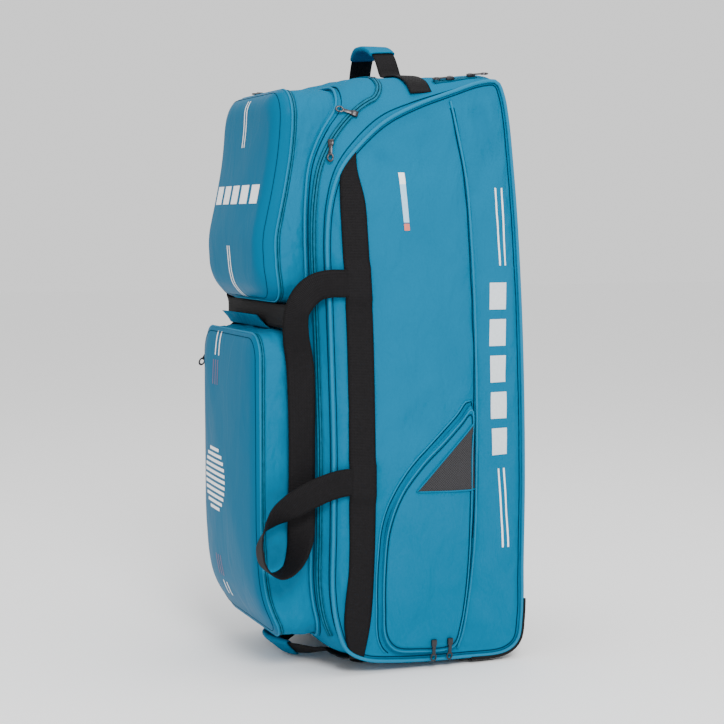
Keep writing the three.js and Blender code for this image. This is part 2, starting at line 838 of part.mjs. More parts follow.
function addNearHandle() {
  const upper = handleTopShare * bodyHeight;
  const lower = upper - handleSpan;
  const points = nearHandleRows.map((row) => vector(
    THREE.MathUtils.lerp(sewnX(lower), sewnX(upper), row.height) + (row.out - 1) * handleStandOff,
    -handleRootShare * halfDepth - row.forward * handleReach,
    lower + row.height * handleSpan,
  ));
  const route = smoothPath(points, nearHandleRows.map((row) => row.roll), 2);
  const strap = sweep(route.path, flatSection(webbingThickness, webbingWidth), {
    across: () => vector(1, 0, 0), rolls: route.rolls,
  });
  addNode('carry_handle_near', strap, black, 0.9);
}

// The far carry handle is drawn across the front between the two pockets and doubles back.
// x is a share of half the width or, past the middle, of farLoopReach. forward is a share of
// handleReach, height of handleSpan from the strap space, and run the share of the gap between
// the two runs. lean is how far the strap's upper edge turns back, in degrees.
const farHandleRows = table('x forward height run lean', [
  [-1.0, -0.1, 0.17, 0, 0],
  [-1.012, 0.06, 0.16, 0, 0],
  [-1.03, 0.25, 0.13, 0, 0],
  [-1.06, 0.43, 0.08, 0, 0],
  [-1.02, 0.55, 0.02, 0, 0],
  [-0.92, 0.59, 0.006, 0, 0],
  [-0.8, 0.59, 0.006, 0, 0],
  [0.3, 0.59, 0.006, 0, 0],
  [0.8, 0.59, 0.006, 0, 0],
  [0.96, 0.59, 0.006, 0.1, 0],
  [1.0, 0.59, 0.006, 0.5, 0],
  [0.96, 0.59, 0.006, 0.9, 0],
  [0.8, 0.59, 0.006, 1, 0],
  [0.3, 0.59, 0.006, 1, 0],
  [-0.72, 0.59, 0.006, 1, 0],
  [-0.84, 0.59, 0, 1, 0],
  [-0.94, 0.56, -0.05, 1, 12],
  [-0.98, 0.52, -0.17, 1, 50],
  [-0.985, 0.5, -0.38, 1, 88],
  [-1.005, 0.45, -0.6, 1, 80],
  [-1.03, 0.28, -0.74, 0.5, 45],
  [-1.012, 0.08, -0.81, 0, 5],
  [-1.0, -0.1, -0.82, 0, 0],
]);

function farStrapPoint(row) {
  const height = strapHeight + row.height * handleSpan;
  const onSide = Math.min(1, Math.max(0, (0.5 - row.forward) * 3));
  const outside = halfWidth + (sewnX(height) - halfWidth) * onSide;
  const x = row.x < 0 ? row.x * outside : row.x * farLoopReach;
  const y = -handleRootShare * halfDepth - row.forward * handleReach + row.run * farRunGap;
  return vector(x, y, height);
}

function addFarHandle() {
  const points = farHandleRows.map(farStrapPoint);
  const route = smoothPath(points, farHandleRows.map((row) => row.lean), 2);
  const leans = route.rolls.map((degrees) => THREE.MathUtils.degToRad(degrees));
  const strap = sweep(route.path, flatSection(grabWebbingWidth, webbingThickness), {
    across: (i) => vector(0, Math.sin(leans[i]), Math.cos(leans[i])),
  });
  addNode('carry_handle_far', strap, black, 0.9);
}

// Soft wrap under the two runs of the far handle: a trough with a round bottom, open at the top.
function addGripWrap() {
  const straight = farHandleRows.find((row) => row.x === 0.3);
  const middle = farStrapPoint(straight);
  const bottomRound = 3;
  const halfSpread = farRunGap / 2 + webbingThickness / 2 + wrapGap;
  const floor = middle.z - grabWebbingWidth / 2 - wrapGap - bottomRound * 0.6;
  const centreY = middle.y + farRunGap / 2;
  const arc = (spread, bottom) => [0, 1, 2, 3, 4, 5, 6].map((i) => {
    const angle = Math.PI * (1 + i / 6);
    return [centreY + spread * Math.cos(angle), bottom + bottomRound * (1 + Math.sin(angle))];
  });
  const top = floor + wrapHeight;
  const outer = [[centreY - halfSpread - wrapWall, top], ...arc(halfSpread + wrapWall, floor - wrapWall),
    [centreY + halfSpread + wrapWall, top]];
  const inner = [[centreY - halfSpread, top], ...arc(halfSpread, floor), [centreY + halfSpread, top]];
  const from = wrapReach - wrapLength;
  addNode('grip_wrap', sidePrism([...outer, ...inner.reverse()], from, wrapReach), teal, 0.75);
}

// Grab handles. x is a share of half the handle's span, height or forward of its rise or reach.
const topArchRows = table('x height', [[1.04, 0.1], [0.93, 0.34], [0.72, 0.72], [0.4, 0.95], [0, 1]]);
const bottomArchRows = table('x forward tilt', [
  [1.0, 0.12, 0], [0.82, 0.36, 10], [0.55, 0.7, 28], [0.28, 0.93, 38], [0, 1, 40],
]);

function mirrorPath(points) {
  const mirrored = points.slice(0, -1).reverse().map((point) => vector(-point.x, point.y, point.z));
  return [...points, ...mirrored];
}

function addTopHandle() {
  const depthAt = (x) => -0.2 * halfDepth + 0.13 * halfDepth * (Math.abs(x) / halfWidth);
  const lift = seatGap * 2 + webbingThickness / 2;
  const foot = topHandleSpan / 2;
  const flat = [0.955, 0.86, 0.7, 0.54].map((share) => {
    const x = share * (halfWidth - foot) + foot * share;
    return topAt(x, depthAt(x)).point.add(vector(0, 0, lift));
  });
  const start = topAt(foot, depthAt(foot)).point.z;
  const arch = topArchRows.map((row) => vector(
    row.x * foot,
    depthAt(row.x * foot),
    start + lift + row.height * topHandleRise,
  ));
  const toeIn = topAt(foot * 1.2, depthAt(foot)).point.add(vector(0, 0, lift));
  const points = mirrorPath([...flat, toeIn, ...arch]);
  const route = smoothPath(points, points.map(() => 0), 2);
  const strap = sweep(route.path, flatSection(grabWebbingWidth, webbingThickness), {
    across: () => vector(0, 1, 0),
  });
  addSeated('top_handle_webbing', strap, black, 0.9);
  addSleeve('top_handle_sleeve', route.path, () => vector(0, 1, 0));
}

function addSleeve(name, path, across) {
  const outer = flatSection(
    grabWebbingWidth + 2 * (sleeveWall + sleeveGap),
    webbingThickness + 2 * (sleeveWall + sleeveGap),
  );
  const inner = flatSection(grabWebbingWidth + 2 * sleeveGap, webbingThickness + 2 * sleeveGap);
  const covered = (ring, i) => Math.abs(path[i].x) < sleeveLength / 2;
  const outside = sweepRings(path, outer, { across }).filter(covered);
  const inside = sweepRings(path, inner, { across }).filter(covered).reverse();
  addNode(name, loft([...outside, ...inside], { closed: true }), teal, 0.75);
}

function addBottomHandle() {
  const rootY = -0.75 * halfDepth;
  const lift = seatGap + webbingThickness / 2;
  const foot = bottomHandleSpan / 2;
  const flat = [0.955, 0.8, 0.66].map((share) => {
    const x = share * halfWidth;
    return bottomAt(x, rootY).point.sub(vector(0, 0, lift + seatGap * 3));
  });
  const arch = bottomArchRows.map((row) => vector(
    row.x * foot,
    rootY - row.forward * bottomHandleReach,
    bottomHandleHeight + (flat[0].z - bottomHandleHeight) * Math.max(0, 1 - row.forward * 2),
  ));
  const points = mirrorPath([...flat, ...arch]);
  const tilts = [0, 0, 0, ...bottomArchRows.map((row) => row.tilt)];
  const route = smoothPath(points, [...tilts, ...tilts.slice(0, -1).reverse()], 3);
  const turns = route.rolls.map((degrees) => THREE.MathUtils.degToRad(degrees));
  const across = (i) => vector(0, -Math.cos(turns[i]), Math.sin(turns[i]));
  const strap = sweep(route.path, flatSection(grabWebbingWidth, webbingThickness), { across });
  addSeated('bottom_handle_webbing', strap, black, 0.9);
  addSleeve('bottom_handle_sleeve', route.path, across);
}

// Hard base: a plate round the back-bottom corner with two wheel housings, wheels, axles and feet.
function cornerPlate() {
  const corner = outline.filter((sample) => sample.y > guardFront && sample.z < guardTop * 2);
  const shifted = (offset) => corner.map((sample) => [
    sample.y + sample.normalY * offset,
    sample.z + sample.normalZ * offset,
  ]);
  const edge = halfWidth - baseInset;
  const plate = sidePrism([...shifted(guardThickness), ...shifted(-shellWall).reverse()], -edge, edge);
  return seated(plate).intersect(boxSolid(vector(-halfWidth, 0, 0), vector(halfWidth, bodyDepth, guardTop)));
}

function addGuard() {
  const edge = halfWidth - baseInset;
  const grown = outline.map((sample) => [
    sample.y + sample.normalY * guardThickness,
    sample.z + sample.normalZ * guardThickness,
  ]);
  const within = toSolid(sidePrism(grown, -edge, edge));
  let guard = cornerPlate();
  [-1, 1].forEach((side) => {
    guard = guard.add(wheelBar(housingRadius, 0, side).intersect(within));
  });
  [-1, 1].forEach((side) => {
    guard = guard.subtract(wheelBar(wellRadius, -housingWall, side));
    guard = guard.subtract(barAlongX(
      axleRadius + axleGap,
      side * wheelX - wheelWidth,
      side * wheelX + wheelWidth,
      wheelDepth,
      wheelRadius,
      12,
    ));
  });
  addNode('wheel_guard', toGeometry(largestOf(guard)), black, 0.6);
}

// Wheel section from the bore out: shares of the wheel's radius and of half its width.
const wheelRows = table('radius side', [
  [0.13, 0.8], [0.34, 0.8], [0.38, 0.45], [0.72, 0.45], [0.76, 1], [1, 0.8],
]);

function addWheel(name, side) {
  const rows = wheelRows.map((row, i) => [
    i === 0 ? axleRadius + axleGap : row.radius * wheelRadius,
    row.side * wheelWidth / 2,
  ]);
  const profile = [
    ...rows.map(([radius, half]) => new THREE.Vector2(radius, -half)),
    ...rows.reverse().map(([radius, half]) => new THREE.Vector2(radius, half)),
  ];
  profile.push(profile[0].clone());
  const geometry = new THREE.LatheGeometry(profile, 20);
  geometry.rotateZ(Math.PI / 2);
  geometry.deleteAttribute('normal');
  geometry.deleteAttribute('uv');
  const wheel = addNode(name, mergeVertices(geometry), 0x1c1c1e, 0.7);
  wheel.position.set(side * wheelX, wheelDepth, wheelRadius);
  const axle = new THREE.CylinderGeometry(axleRadius, axleRadius, housingTo - housingFrom, 12);
  axle.rotateZ(Math.PI / 2);
  axle.deleteAttribute('normal');
  axle.deleteAttribute('uv');
  const pin = addNode(name.replace('wheel', 'wheel_axle'), mergeVertices(axle), darkMetal, 0.4, 0.8);
  pin.position.copy(wheel.position);
}

function addFoot(name, side) {
  const height = bodyHeight * 0.08;
  const block = new THREE.CylinderGeometry(footRadius * 1.1, footRadius, height, 14);
  block.rotateX(Math.PI / 2);
  block.translate(side * (halfWidth - footInset), -footDepth, height / 2);
  addSeated(name, block, black, 0.6);
}

function addBackBoard() {
  const xs = stationShares.slice(1, -1).filter((share) => share !== 0).map((share) => share * halfWidth);
  const zs = [0, 0.33, 0.66, 1].map((share) => THREE.MathUtils.lerp(guardTop + 3, boardTop, share));
  const rings = zs.map((z) => {
    const face = (lift) => xs.map((x) => backAt(x, z).point.add(vector(0, lift, 0)));
    return [...face(-seatGap), ...face(boardThickness + seatGap).reverse()];
  });
  addSeated('back_board', loft(rings), black, 0.6);
}

function addBase() {
  addGuard();
  addWheel('wheel_left', 1);
  addWheel('wheel_right', -1);
  addFoot('base_foot_left', 1);
  addFoot('base_foot_right', -1);
  addBackBoard();
}

// Zip pull lying along its local x, its slider's underside at local z = 0.
function pullSolid() {
  const slider = new THREE.BoxGeometry(sliderLength, sliderWidth, sliderHeight);
  slider.translate(0, 0, sliderHeight / 2);
  const tip = sliderLength / 4 + tagLength;
  const shape = new THREE.Shape();
  shape.moveTo(0, -tagWidth / 2);
  shape.lineTo(tip - tagRing * 1.6, -tagWidth / 3);
  shape.absarc(tip - tagRing, 0, tagRing, -Math.PI * 0.7, Math.PI * 0.7, false);
  shape.lineTo(tip - tagRing * 1.6, tagWidth / 3);
  shape.lineTo(0, tagWidth / 2);
  const hole = new THREE.Path();
  hole.absarc(tip - tagRing, 0, tagHole, 0, Math.PI * 2, true);
  shape.holes.push(hole);
  const tag = new THREE.ExtrudeGeometry(shape, {
    depth: tagThickness, bevelEnabled: false, curveSegments: 2,
  });
  tag.translate(0, 0, sliderHeight - tagThickness - 0.4);
  return toGeometry(toSolid(slider).add(toSolid(tag)));
}
const pullGeometry = pullSolid();

function addPull(name, point, normal, direction) {
  const up = normal.clone().normalize();
  const along = direction.clone().addScaledVector(up, -direction.dot(up)).normalize();
  const across = up.clone().cross(along);
  const mesh = addNode(name, pullGeometry.clone(), darkMetal, 0.35, 0.9);
  mesh.quaternion.setFromRotationMatrix(new THREE.Matrix4().makeBasis(along, across, up));
  mesh.position.copy(point).addScaledVector(up, pullGap);
}

function addPulls(pocketMesh, zips) {
  const half = lidEdge();
  const addZipPull = (name, zip, { point, normal }, direction) => {
    raycaster.set(point.clone().addScaledVector(normal, halfDepth / 2), normal.clone().negate());
    addPull(name, raycaster.intersectObject(zip)[0].point, normal, direction);
  };
  const rise = half.filter(({ point }) => point.x === halfWidth - lidInset);
  const between = (a, b) => ({
    point: a.point.clone().lerp(b.point, 0.5),
    normal: a.normal.clone().add(b.normal).normalize(),
  });
  const corner = rise.findIndex(({ point }) => point.z > bodyHeight * 0.84);
  const lowPlace = between(rise[corner], rise[corner + 1]);
  const highPlace = between(rise[corner + 1], rise[corner + 2]);
  addZipPull('main_zip_pull_lower', zips.main, lowPlace, vector(0, 0, -1));
  addZipPull('main_zip_pull_upper', zips.main, highPlace, vector(-1, -0.6, 0));
  const topPlace = topSkin(halfWidth * 0.55, -lidTopDepth);
  addZipPull('main_zip_pull_top', zips.main, topPlace, vector(1, 0, 0));

  const backPlaces = backZipPlaces();
  const frontPlace = between(backPlaces[1], backPlaces[2]);
  const rearPlace = between(backPlaces[3], backPlaces[4]);
  addZipPull('back_zip_pull_front', zips.back, frontPlace, vector(0, -1, 0));
  addZipPull('back_zip_pull_rear', zips.back, rearPlace, vector(0, 1, 0));

  const upperSeam = -halfDepth - upperPocketDepth * alongRows(upperSeamRows, 1);
  addPull('upper_pocket_pull', vector(-0.16 * halfWidth, upperSeam, upperPocketTop), vector(0, 0, 1),
    vector(-1, 0, 0));
  const lowerSeam = -halfDepth - lowerPocketDepth;
  ['upper', 'lower'].forEach((place, i) => {
    const z = lowerPocketTop - 0.09 * (lowerPocketTop - lowerPocketBottom) - i * sliderLength * 1.6;
    addPull(`lower_pocket_pull_${place}`, vector(-pocketHalf, lowerSeam, z), vector(-1, 0, 0),
      vector(0, i ? 0.6 : -0.6, -1));
  });
  ['front', 'rear'].forEach((place, i) => {
    const from = vector(farAway, (0.02 + 0.17 * i) * halfDepth, 0.046 * bodyHeight);
    raycaster.set(from, vector(-1, 0, 0));
    const hit = raycaster.intersectObject(pocketMesh)[0];
    addPull(`side_pocket_pull_${place}`, hit.point, hit.face.normal, vector(0, 0, -1));
  });
}

function standOnFloor() {
  model.updateMatrixWorld(true);
  const box = new THREE.Box3().setFromObject(model, true);
  const middle = box.getCenter(vector(0, 0, 0));
  model.position.set(-middle.x, -middle.y, -box.min.z);
}

addTubAndLid();
const zipMeshes = addZips();
addPockets();
addSidePanel(1, 'near');
addSidePanel(-1, 'far');
const sidePocketMesh = addSidePocket();
addSideLabel();
addNearHandle();
addFarHandle();
addGripWrap();
addTopHandle();
addBottomHandle();
addBase();
addPulls(sidePocketMesh, zipMeshes);
standOnFloor();

export default model;
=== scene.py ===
# Cricket kit bag in teal cloth, dressed for a plain studio picture.
# Shapes are worked out in millimetres from the bag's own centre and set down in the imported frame.
import bpy
import bmesh
import math
import numpy as np
from mathutils import Vector, Matrix, noise


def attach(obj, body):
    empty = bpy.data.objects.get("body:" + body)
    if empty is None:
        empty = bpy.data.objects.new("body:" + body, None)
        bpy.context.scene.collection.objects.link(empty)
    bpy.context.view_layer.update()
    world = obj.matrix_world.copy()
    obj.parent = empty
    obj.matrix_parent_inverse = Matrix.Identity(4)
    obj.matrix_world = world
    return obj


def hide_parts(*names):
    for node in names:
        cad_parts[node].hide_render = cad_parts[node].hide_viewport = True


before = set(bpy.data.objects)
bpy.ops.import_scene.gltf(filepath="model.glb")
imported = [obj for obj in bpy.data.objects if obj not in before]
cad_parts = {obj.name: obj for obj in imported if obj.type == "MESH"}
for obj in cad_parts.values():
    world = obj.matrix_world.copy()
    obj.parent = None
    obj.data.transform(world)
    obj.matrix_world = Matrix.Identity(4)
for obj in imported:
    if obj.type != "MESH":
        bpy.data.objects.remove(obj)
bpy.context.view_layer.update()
bagShift = np.array([-4.763, 59.594, 0.0])  # from the bag's centre to the frame's origin
print("frame loaded")

# camera, floor and light
cameraView = {"azimuth": 68.0, "elevation": 4.8, "lens": 81.55, "eye": (2588.0, -1093.0, 727.0), "sensor": 36,
              "clipEnd": 50}


def setCamera():
    turn = math.radians(cameraView["azimuth"])
    lift = math.radians(cameraView["elevation"])
    right = Vector((math.cos(turn), math.sin(turn), 0))
    back = Vector((math.sin(turn) * math.cos(lift), -math.cos(turn) * math.cos(lift), math.sin(lift)))
    up = back.cross(right)
    data = bpy.data.cameras.new("photoCamera")
    data.lens = cameraView["lens"]
    data.sensor_width = cameraView["sensor"]
    data.sensor_fit = "HORIZONTAL"
    data.clip_end = cameraView["clipEnd"]
    camera = bpy.data.objects.new("photoCamera", data)
    eye = (np.array(cameraView["eye"]) + bagShift) / 1000
    camera.matrix_world = Matrix((*[(right[k], up[k], back[k], eye[k]) for k in range(3)], (0, 0, 0, 1)))
    bpy.context.collection.objects.link(camera)
    bpy.context.scene.camera = camera


setCamera()

studio = {"floorSize": 30, "floor": (0.97, 0.97, 0.97), "floorRoughness": 0.8, "world": 1.1, "aim": (0, 0, 0.5)}
lamps = [  # name, place, size, power
    ("keyLight", (3.4, -0.6, 2.9), 1.6, 150.0),
    ("fillLight", (-0.6, -3.4, 1.4), 2.4, 8.0),
    ("topLight", (0.4, 0.2, 3.4), 2.0, 36.0),
]


def deselectAll():
    if bpy.context.object and bpy.context.object.mode != "OBJECT":
        bpy.ops.object.mode_set(mode="OBJECT")
    bpy.ops.object.select_all(action="DESELECT")


def addStudio():
    deselectAll()
    bpy.ops.mesh.primitive_plane_add(size=studio["floorSize"], location=(0, 0, 0))
    floor = bpy.context.object
    floor.name = "studioFloor"
    bpy.ops.object.transform_apply(location=True, rotation=True, scale=True)
    paint = bpy.data.materials.new("paleFloor")
    paint.use_nodes = True
    shader = paint.node_tree.nodes["Principled BSDF"]
    shader.inputs["Base Color"].default_value = (*studio["floor"], 1)
    shader.inputs["Roughness"].default_value = studio["floorRoughness"]
    floor.data.materials.append(paint)
    world = bpy.context.scene.world or bpy.data.worlds.new("studioWorld")
    bpy.context.scene.world = world
    world.use_nodes = True
    sky = world.node_tree.nodes["Background"]
    sky.inputs["Color"].default_value = (1, 1, 1, 1)
    sky.inputs["Strength"].default_value = studio["world"]
    for name, place, size, power in lamps:
        data = bpy.data.lights.new(name, "AREA")
        data.shape = "DISK"
        data.size = size
        data.energy = power
        lamp = bpy.data.objects.new(name, data)
        lamp.location = place
        aim = Vector(studio["aim"]) - Vector(place)
        lamp.rotation_euler = aim.to_track_quat("-Z", "Y").to_euler()
        bpy.context.collection.objects.link(lamp)


addStudio()
print("camera and studio set")

# materials
palette = {
    "cloth": (0.0002, 0.132, 0.25),
    "coated": (0.0002, 0.105, 0.205),
    "piping": (0.0004, 0.155, 0.285),
    # painted shade: dark teal for the thin cords laid beside piping and seams, where their valleys fall in shade
    "seamShade": (0.0003, 0.022, 0.048),
    "webbing": (0.0045, 0.0038, 0.0045),
    "tape": (0.0005, 0.12, 0.21),
    "print": (0.86, 0.88, 0.9),
    "greyPrint": (0.62, 0.68, 0.72),
    "redPrint": (0.18, 0.055, 0.14),
    "mesh": (0.018, 0.021, 0.026),
    "metal": (0.045, 0.042, 0.045),
    "plastic": (0.006, 0.006, 0.0065),
    "rubber": (0.016, 0.016, 0.017),
    "label": (0.35, 0.62, 0.82),
    "redLabel": (0.62, 0.16, 0.12),
    "steel": (0.35, 0.35, 0.36),
    # painted shade: dark colours for the grooves of the webbing and zip bands
    "webbingGrooveShade": (0.002, 0.002, 0.002),
    "zipGrooveShade": (0.0006, 0.01, 0.02),
    "meshHole": (0.006, 0.007, 0.009),
    "meshThread": (0.036, 0.034, 0.037),
}


def mathNode(tree, operation, first, second=None, third=None):
    node = tree.nodes.new("ShaderNodeMath")
    node.operation = operation
    for i, value in enumerate((first, second, third)):
        if value is None:
            continue
        if isinstance(value, (int, float)):
            node.inputs[i].default_value = value
        else:
            tree.links.new(value, node.inputs[i])
    return node.outputs[0]


def sineNode(tree, value, factor):
    return mathNode(tree, "SINE", mathNode(tree, "MULTIPLY", value, factor))


def noiseNode(tree, vector, scale, detail, distortion=0.0):
    node = tree.nodes.new("ShaderNodeTexNoise")
    for label, value in (("Scale", scale), ("Detail", detail), ("Distortion", distortion)):
        node.inputs[label].default_value = value
    tree.links.new(vector, node.inputs["Vector"])
    return node.outputs["Fac"]


def splitNode(tree, vector):
    node = tree.nodes.new("ShaderNodeSeparateXYZ")
    tree.links.new(vector, node.inputs[0])
    return node.outputs


def mixNode(tree, share):
    node = tree.nodes.new("ShaderNodeMix")
    node.data_type = "RGBA"
    tree.links.new(share, node.inputs["Factor"])
    return node


def objectPlace(tree):
    return tree.nodes.new("ShaderNodeTexCoord").outputs["Object"]


# Plain weave: two crossed sets of threads and a little slub, with a slow change of tone.
weave = {"thread": 0.35, "slub": 420, "slubDetail": 3, "tone": 7, "toneDetail": 4, "fineTone": 0.5,
         "crease": 22, "creaseDetail": 3, "creaseDistortion": 0.6, "creaseStretch": (1.0, 1.0, 0.45)}


def buildClothGroup():
    group = bpy.data.node_groups.new("clothWeave", "ShaderNodeTree")
    for label, kind in (("Vector", "NodeSocketVector"), ("Pitch", "NodeSocketFloat")):
        group.interface.new_socket(label, in_out="INPUT", socket_type=kind)
    for label in ("Height", "Tone", "Crease"):
        group.interface.new_socket(label, in_out="OUTPUT", socket_type="NodeSocketFloat")
    start, end = group.nodes.new("NodeGroupInput"), group.nodes.new("NodeGroupOutput")
    place, pitch = start.outputs["Vector"], start.outputs["Pitch"]
    axes = splitNode(group, place)
    across = mathNode(group, "ADD", axes["X"], axes["Y"])
    threads = mathNode(group, "MULTIPLY", sineNode(group, across, pitch), sineNode(group, axes["Z"], pitch))
    slub = noiseNode(group, place, weave["slub"], weave["slubDetail"])
    height = mathNode(group, "ADD", mathNode(group, "MULTIPLY", threads, weave["thread"]), slub)
    slow = noiseNode(group, place, weave["tone"], weave["toneDetail"])
    fine = mathNode(group, "MULTIPLY", mathNode(group, "SUBTRACT", slub, 0.5), weave["fineTone"])
    tone = mathNode(group, "ADD", mathNode(group, "SUBTRACT", slow, 0.5), fine)
    stretch = group.nodes.new("ShaderNodeMapping")
    stretch.inputs["Scale"].default_value = weave["creaseStretch"]
    group.links.new(place, stretch.inputs["Vector"])
    crease = noiseNode(group, stretch.outputs[0], weave["crease"], weave["creaseDetail"],
                       weave["creaseDistortion"])
    for label, value in (("Height", height), ("Tone", tone), ("Crease", crease)):
        group.links.new(value, end.inputs[label])
    return group


clothGroup = buildClothGroup()


def newMaterial(name, color, roughness, metallic=0.0, specular=0.5):
    paint = bpy.data.materials.new(name)
    paint.use_nodes = True
    shader = paint.node_tree.nodes["Principled BSDF"]
    for label, value in (("Base Color", (*color, 1)), ("Roughness", roughness), ("Metallic", metallic),
                         ("Specular IOR Level", specular)):
        shader.inputs[label].default_value = value
    return paint, paint.node_tree, shader


def tinted(tree, color, tone, amount):
    scaled = mathNode(tree, "MULTIPLY_ADD", tone, amount, 1.0)
    mix = tree.nodes.new("ShaderNodeVectorMath")
    mix.operation = "SCALE"
    mix.inputs[0].default_value = color
    tree.links.new(scaled, mix.inputs["Scale"])
    return mix.outputs[0]


def addBump(tree, height, distance, strength=1.0, normal=None):
    bump = tree.nodes.new("ShaderNodeBump")
    bump.inputs["Strength"].default_value = strength
    bump.inputs["Distance"].default_value = distance
    tree.links.new(height, bump.inputs["Height"])
    if normal is not None:
        tree.links.new(normal, bump.inputs["Normal"])
    return bump.outputs["Normal"]


def clothMaterial(name, color, roughness, pitch, threadDepth, creaseDepth, specular, tone=0.22):
    paint, tree, shader = newMaterial(name, color, roughness, specular=specular)
    cloth = tree.nodes.new("ShaderNodeGroup")
    cloth.node_tree = clothGroup
    cloth.inputs["Pitch"].default_value = pitch
    tree.links.new(objectPlace(tree), cloth.inputs["Vector"])
    tree.links.new(tinted(tree, color, cloth.outputs["Tone"], tone), shader.inputs["Base Color"])
    folds = addBump(tree, cloth.outputs["Crease"], creaseDepth)
    tree.links.new(addBump(tree, cloth.outputs["Height"], threadDepth, 0.8, folds), shader.inputs["Normal"])
    return paint


clothPaint = clothMaterial("tealCloth", palette["cloth"], 0.8, 2600, 0.0002, 0.008, 0.05)
gussetPaint = clothMaterial("gussetCloth", palette["cloth"], 0.75, 2600, 0.00018, 0.011, 0.05)
coatedPaint = clothMaterial("coatedCloth", palette["coated"], 0.36, 1500, 0.00002, 0.0012, 0.018, 0.06)
pipingPaint = clothMaterial("pipingCloth", palette["piping"], 0.65, 2600, 0.0001, 0.0008, 0.15)
# painted shade: the material of the dark cords beside piping and seams
seamShadePaint = clothMaterial("seamShade", palette["seamShade"], 0.85, 2600, 0.0001, 0.0004, 0.08)

ribbing = {"twill": 60.0, "twillHeight": 0.4, "speck": 140, "speckDetail": 4, "ribShade": 0.16, "tone": 0.9,
           "grooveHeight": -4.0}


# Bands carry their own map: U across from 0 to 1, V along in millimetres.
def bandMaterial(name, color, roughness, ribPitch, ribDepth, grooves, grooveShadeColor, specular):
    paint, tree, shader = newMaterial(name, color, roughness, specular=specular)
    uv = tree.nodes.new("ShaderNodeUVMap")
    uv.uv_map = "band"
    axes = splitNode(tree, uv.outputs[0])
    ribs = sineNode(tree, axes["Y"], 2 * math.pi / ribPitch)
    twill = mathNode(tree, "SINE", mathNode(tree, "MULTIPLY_ADD", axes["X"], ribbing["twill"], ribs))
    height = mathNode(tree, "MULTIPLY_ADD", twill, ribbing["twillHeight"], ribs)
    speck = noiseNode(tree, objectPlace(tree), ribbing["speck"], ribbing["speckDetail"])
    # painted light and shade: rib tops coloured lighter and rib valleys darker, with a random speck on top
    tone = mathNode(tree, "MULTIPLY_ADD", height, ribbing["ribShade"], mathNode(tree, "SUBTRACT", speck, 0.5))
    # painted shade: the grooves are coloured dark as well as sunk
    groove = None
    for middle, half in grooves:
        gap = mathNode(tree, "ABSOLUTE", mathNode(tree, "SUBTRACT", axes["X"], middle))
        mask = mathNode(tree, "LESS_THAN", gap, half)
        groove = mask if groove is None else mathNode(tree, "MAXIMUM", groove, mask)
    mix = mixNode(tree, groove)
    tree.links.new(tinted(tree, color, tone, ribbing["tone"]), mix.inputs["A"])
    mix.inputs["B"].default_value = (*grooveShadeColor, 1)
    height = mathNode(tree, "MULTIPLY_ADD", groove, ribbing["grooveHeight"], height)
    tree.links.new(mix.outputs["Result"], shader.inputs["Base Color"])
    tree.links.new(addBump(tree, height, ribDepth), shader.inputs["Normal"])
    return paint


webbingPaint = bandMaterial("blackWebbing", palette["webbing"], 0.72, 2.4, 0.00025,
                            [(0.04, 0.012), (0.96, 0.012)], palette["webbingGrooveShade"], 0.16)
zipPaint = bandMaterial("zipBand", palette["tape"], 0.7, 1.6, 0.00018,
                        [(0.5, 0.07), (0.1, 0.04), (0.9, 0.04)], palette["zipGrooveShade"], 0.12)

grainTone = 0.3
grainRoughness = 0.25


def plainMaterial(name, color, roughness, grain, depth, **gloss):
    paint, tree, shader = newMaterial(name, color, roughness, **gloss)
    speck = noiseNode(tree, objectPlace(tree), grain, 4)
    tone = mathNode(tree, "SUBTRACT", speck, 0.5)
    tree.links.new(tinted(tree, color, tone, grainTone), shader.inputs["Base Color"])
    rough = mathNode(tree, "MULTIPLY_ADD", tone, grainRoughness, roughness)
    tree.links.new(rough, shader.inputs["Roughness"])
    tree.links.new(addBump(tree, speck, depth), shader.inputs["Normal"])
    return paint


printPaint, greyPrintPaint, redPrintPaint = [
    plainMaterial(name, palette[color], 0.5, 300, 0.00002)
    for name, color in (("whitePrint", "print"), ("greyPrint", "greyPrint"), ("redPrint", "redPrint"))]
labelPaint = plainMaterial("paleLabel", palette["label"], 0.45, 500, 0.00003)
redLabelPaint = plainMaterial("redLabel", palette["redLabel"], 0.5, 400, 0.00003)
metalPaint = plainMaterial("darkMetal", palette["metal"], 0.3, 600, 0.00003, metallic=0.85)
plasticPaint = plainMaterial("blackPlastic", palette["plastic"], 0.6, 900, 0.00006, specular=0.12)
rubberPaint = plainMaterial("wheelRubber", palette["rubber"], 0.75, 500, 0.0001)
steelPaint = plainMaterial("axleSteel", palette["steel"], 0.35, 300, 0.00003, metallic=1.0)
netWeave = {"pitch": 1500.0, "depth": 0.0004}


def meshMaterial():
    paint, tree, shader = newMaterial("greyMesh", palette["mesh"], 0.8, specular=0.3)
    axes = splitNode(tree, objectPlace(tree))
    crossed = [mathNode(tree, way, axes["Y"], axes["Z"]) for way in ("ADD", "SUBTRACT")]
    threads = mathNode(tree, "MAXIMUM", *[sineNode(tree, line, netWeave["pitch"]) for line in crossed])
    colored = mixNode(tree, mathNode(tree, "MULTIPLY_ADD", threads, 0.5, 0.5))
    colored.inputs["A"].default_value = (*palette["meshHole"], 1)
    colored.inputs["B"].default_value = (*palette["meshThread"], 1)
    tree.links.new(colored.outputs["Result"], shader.inputs["Base Color"])
    tree.links.new(addBump(tree, threads, netWeave["depth"]), shader.inputs["Normal"])
    return paint


meshPaint = meshMaterial()
print("materials made")


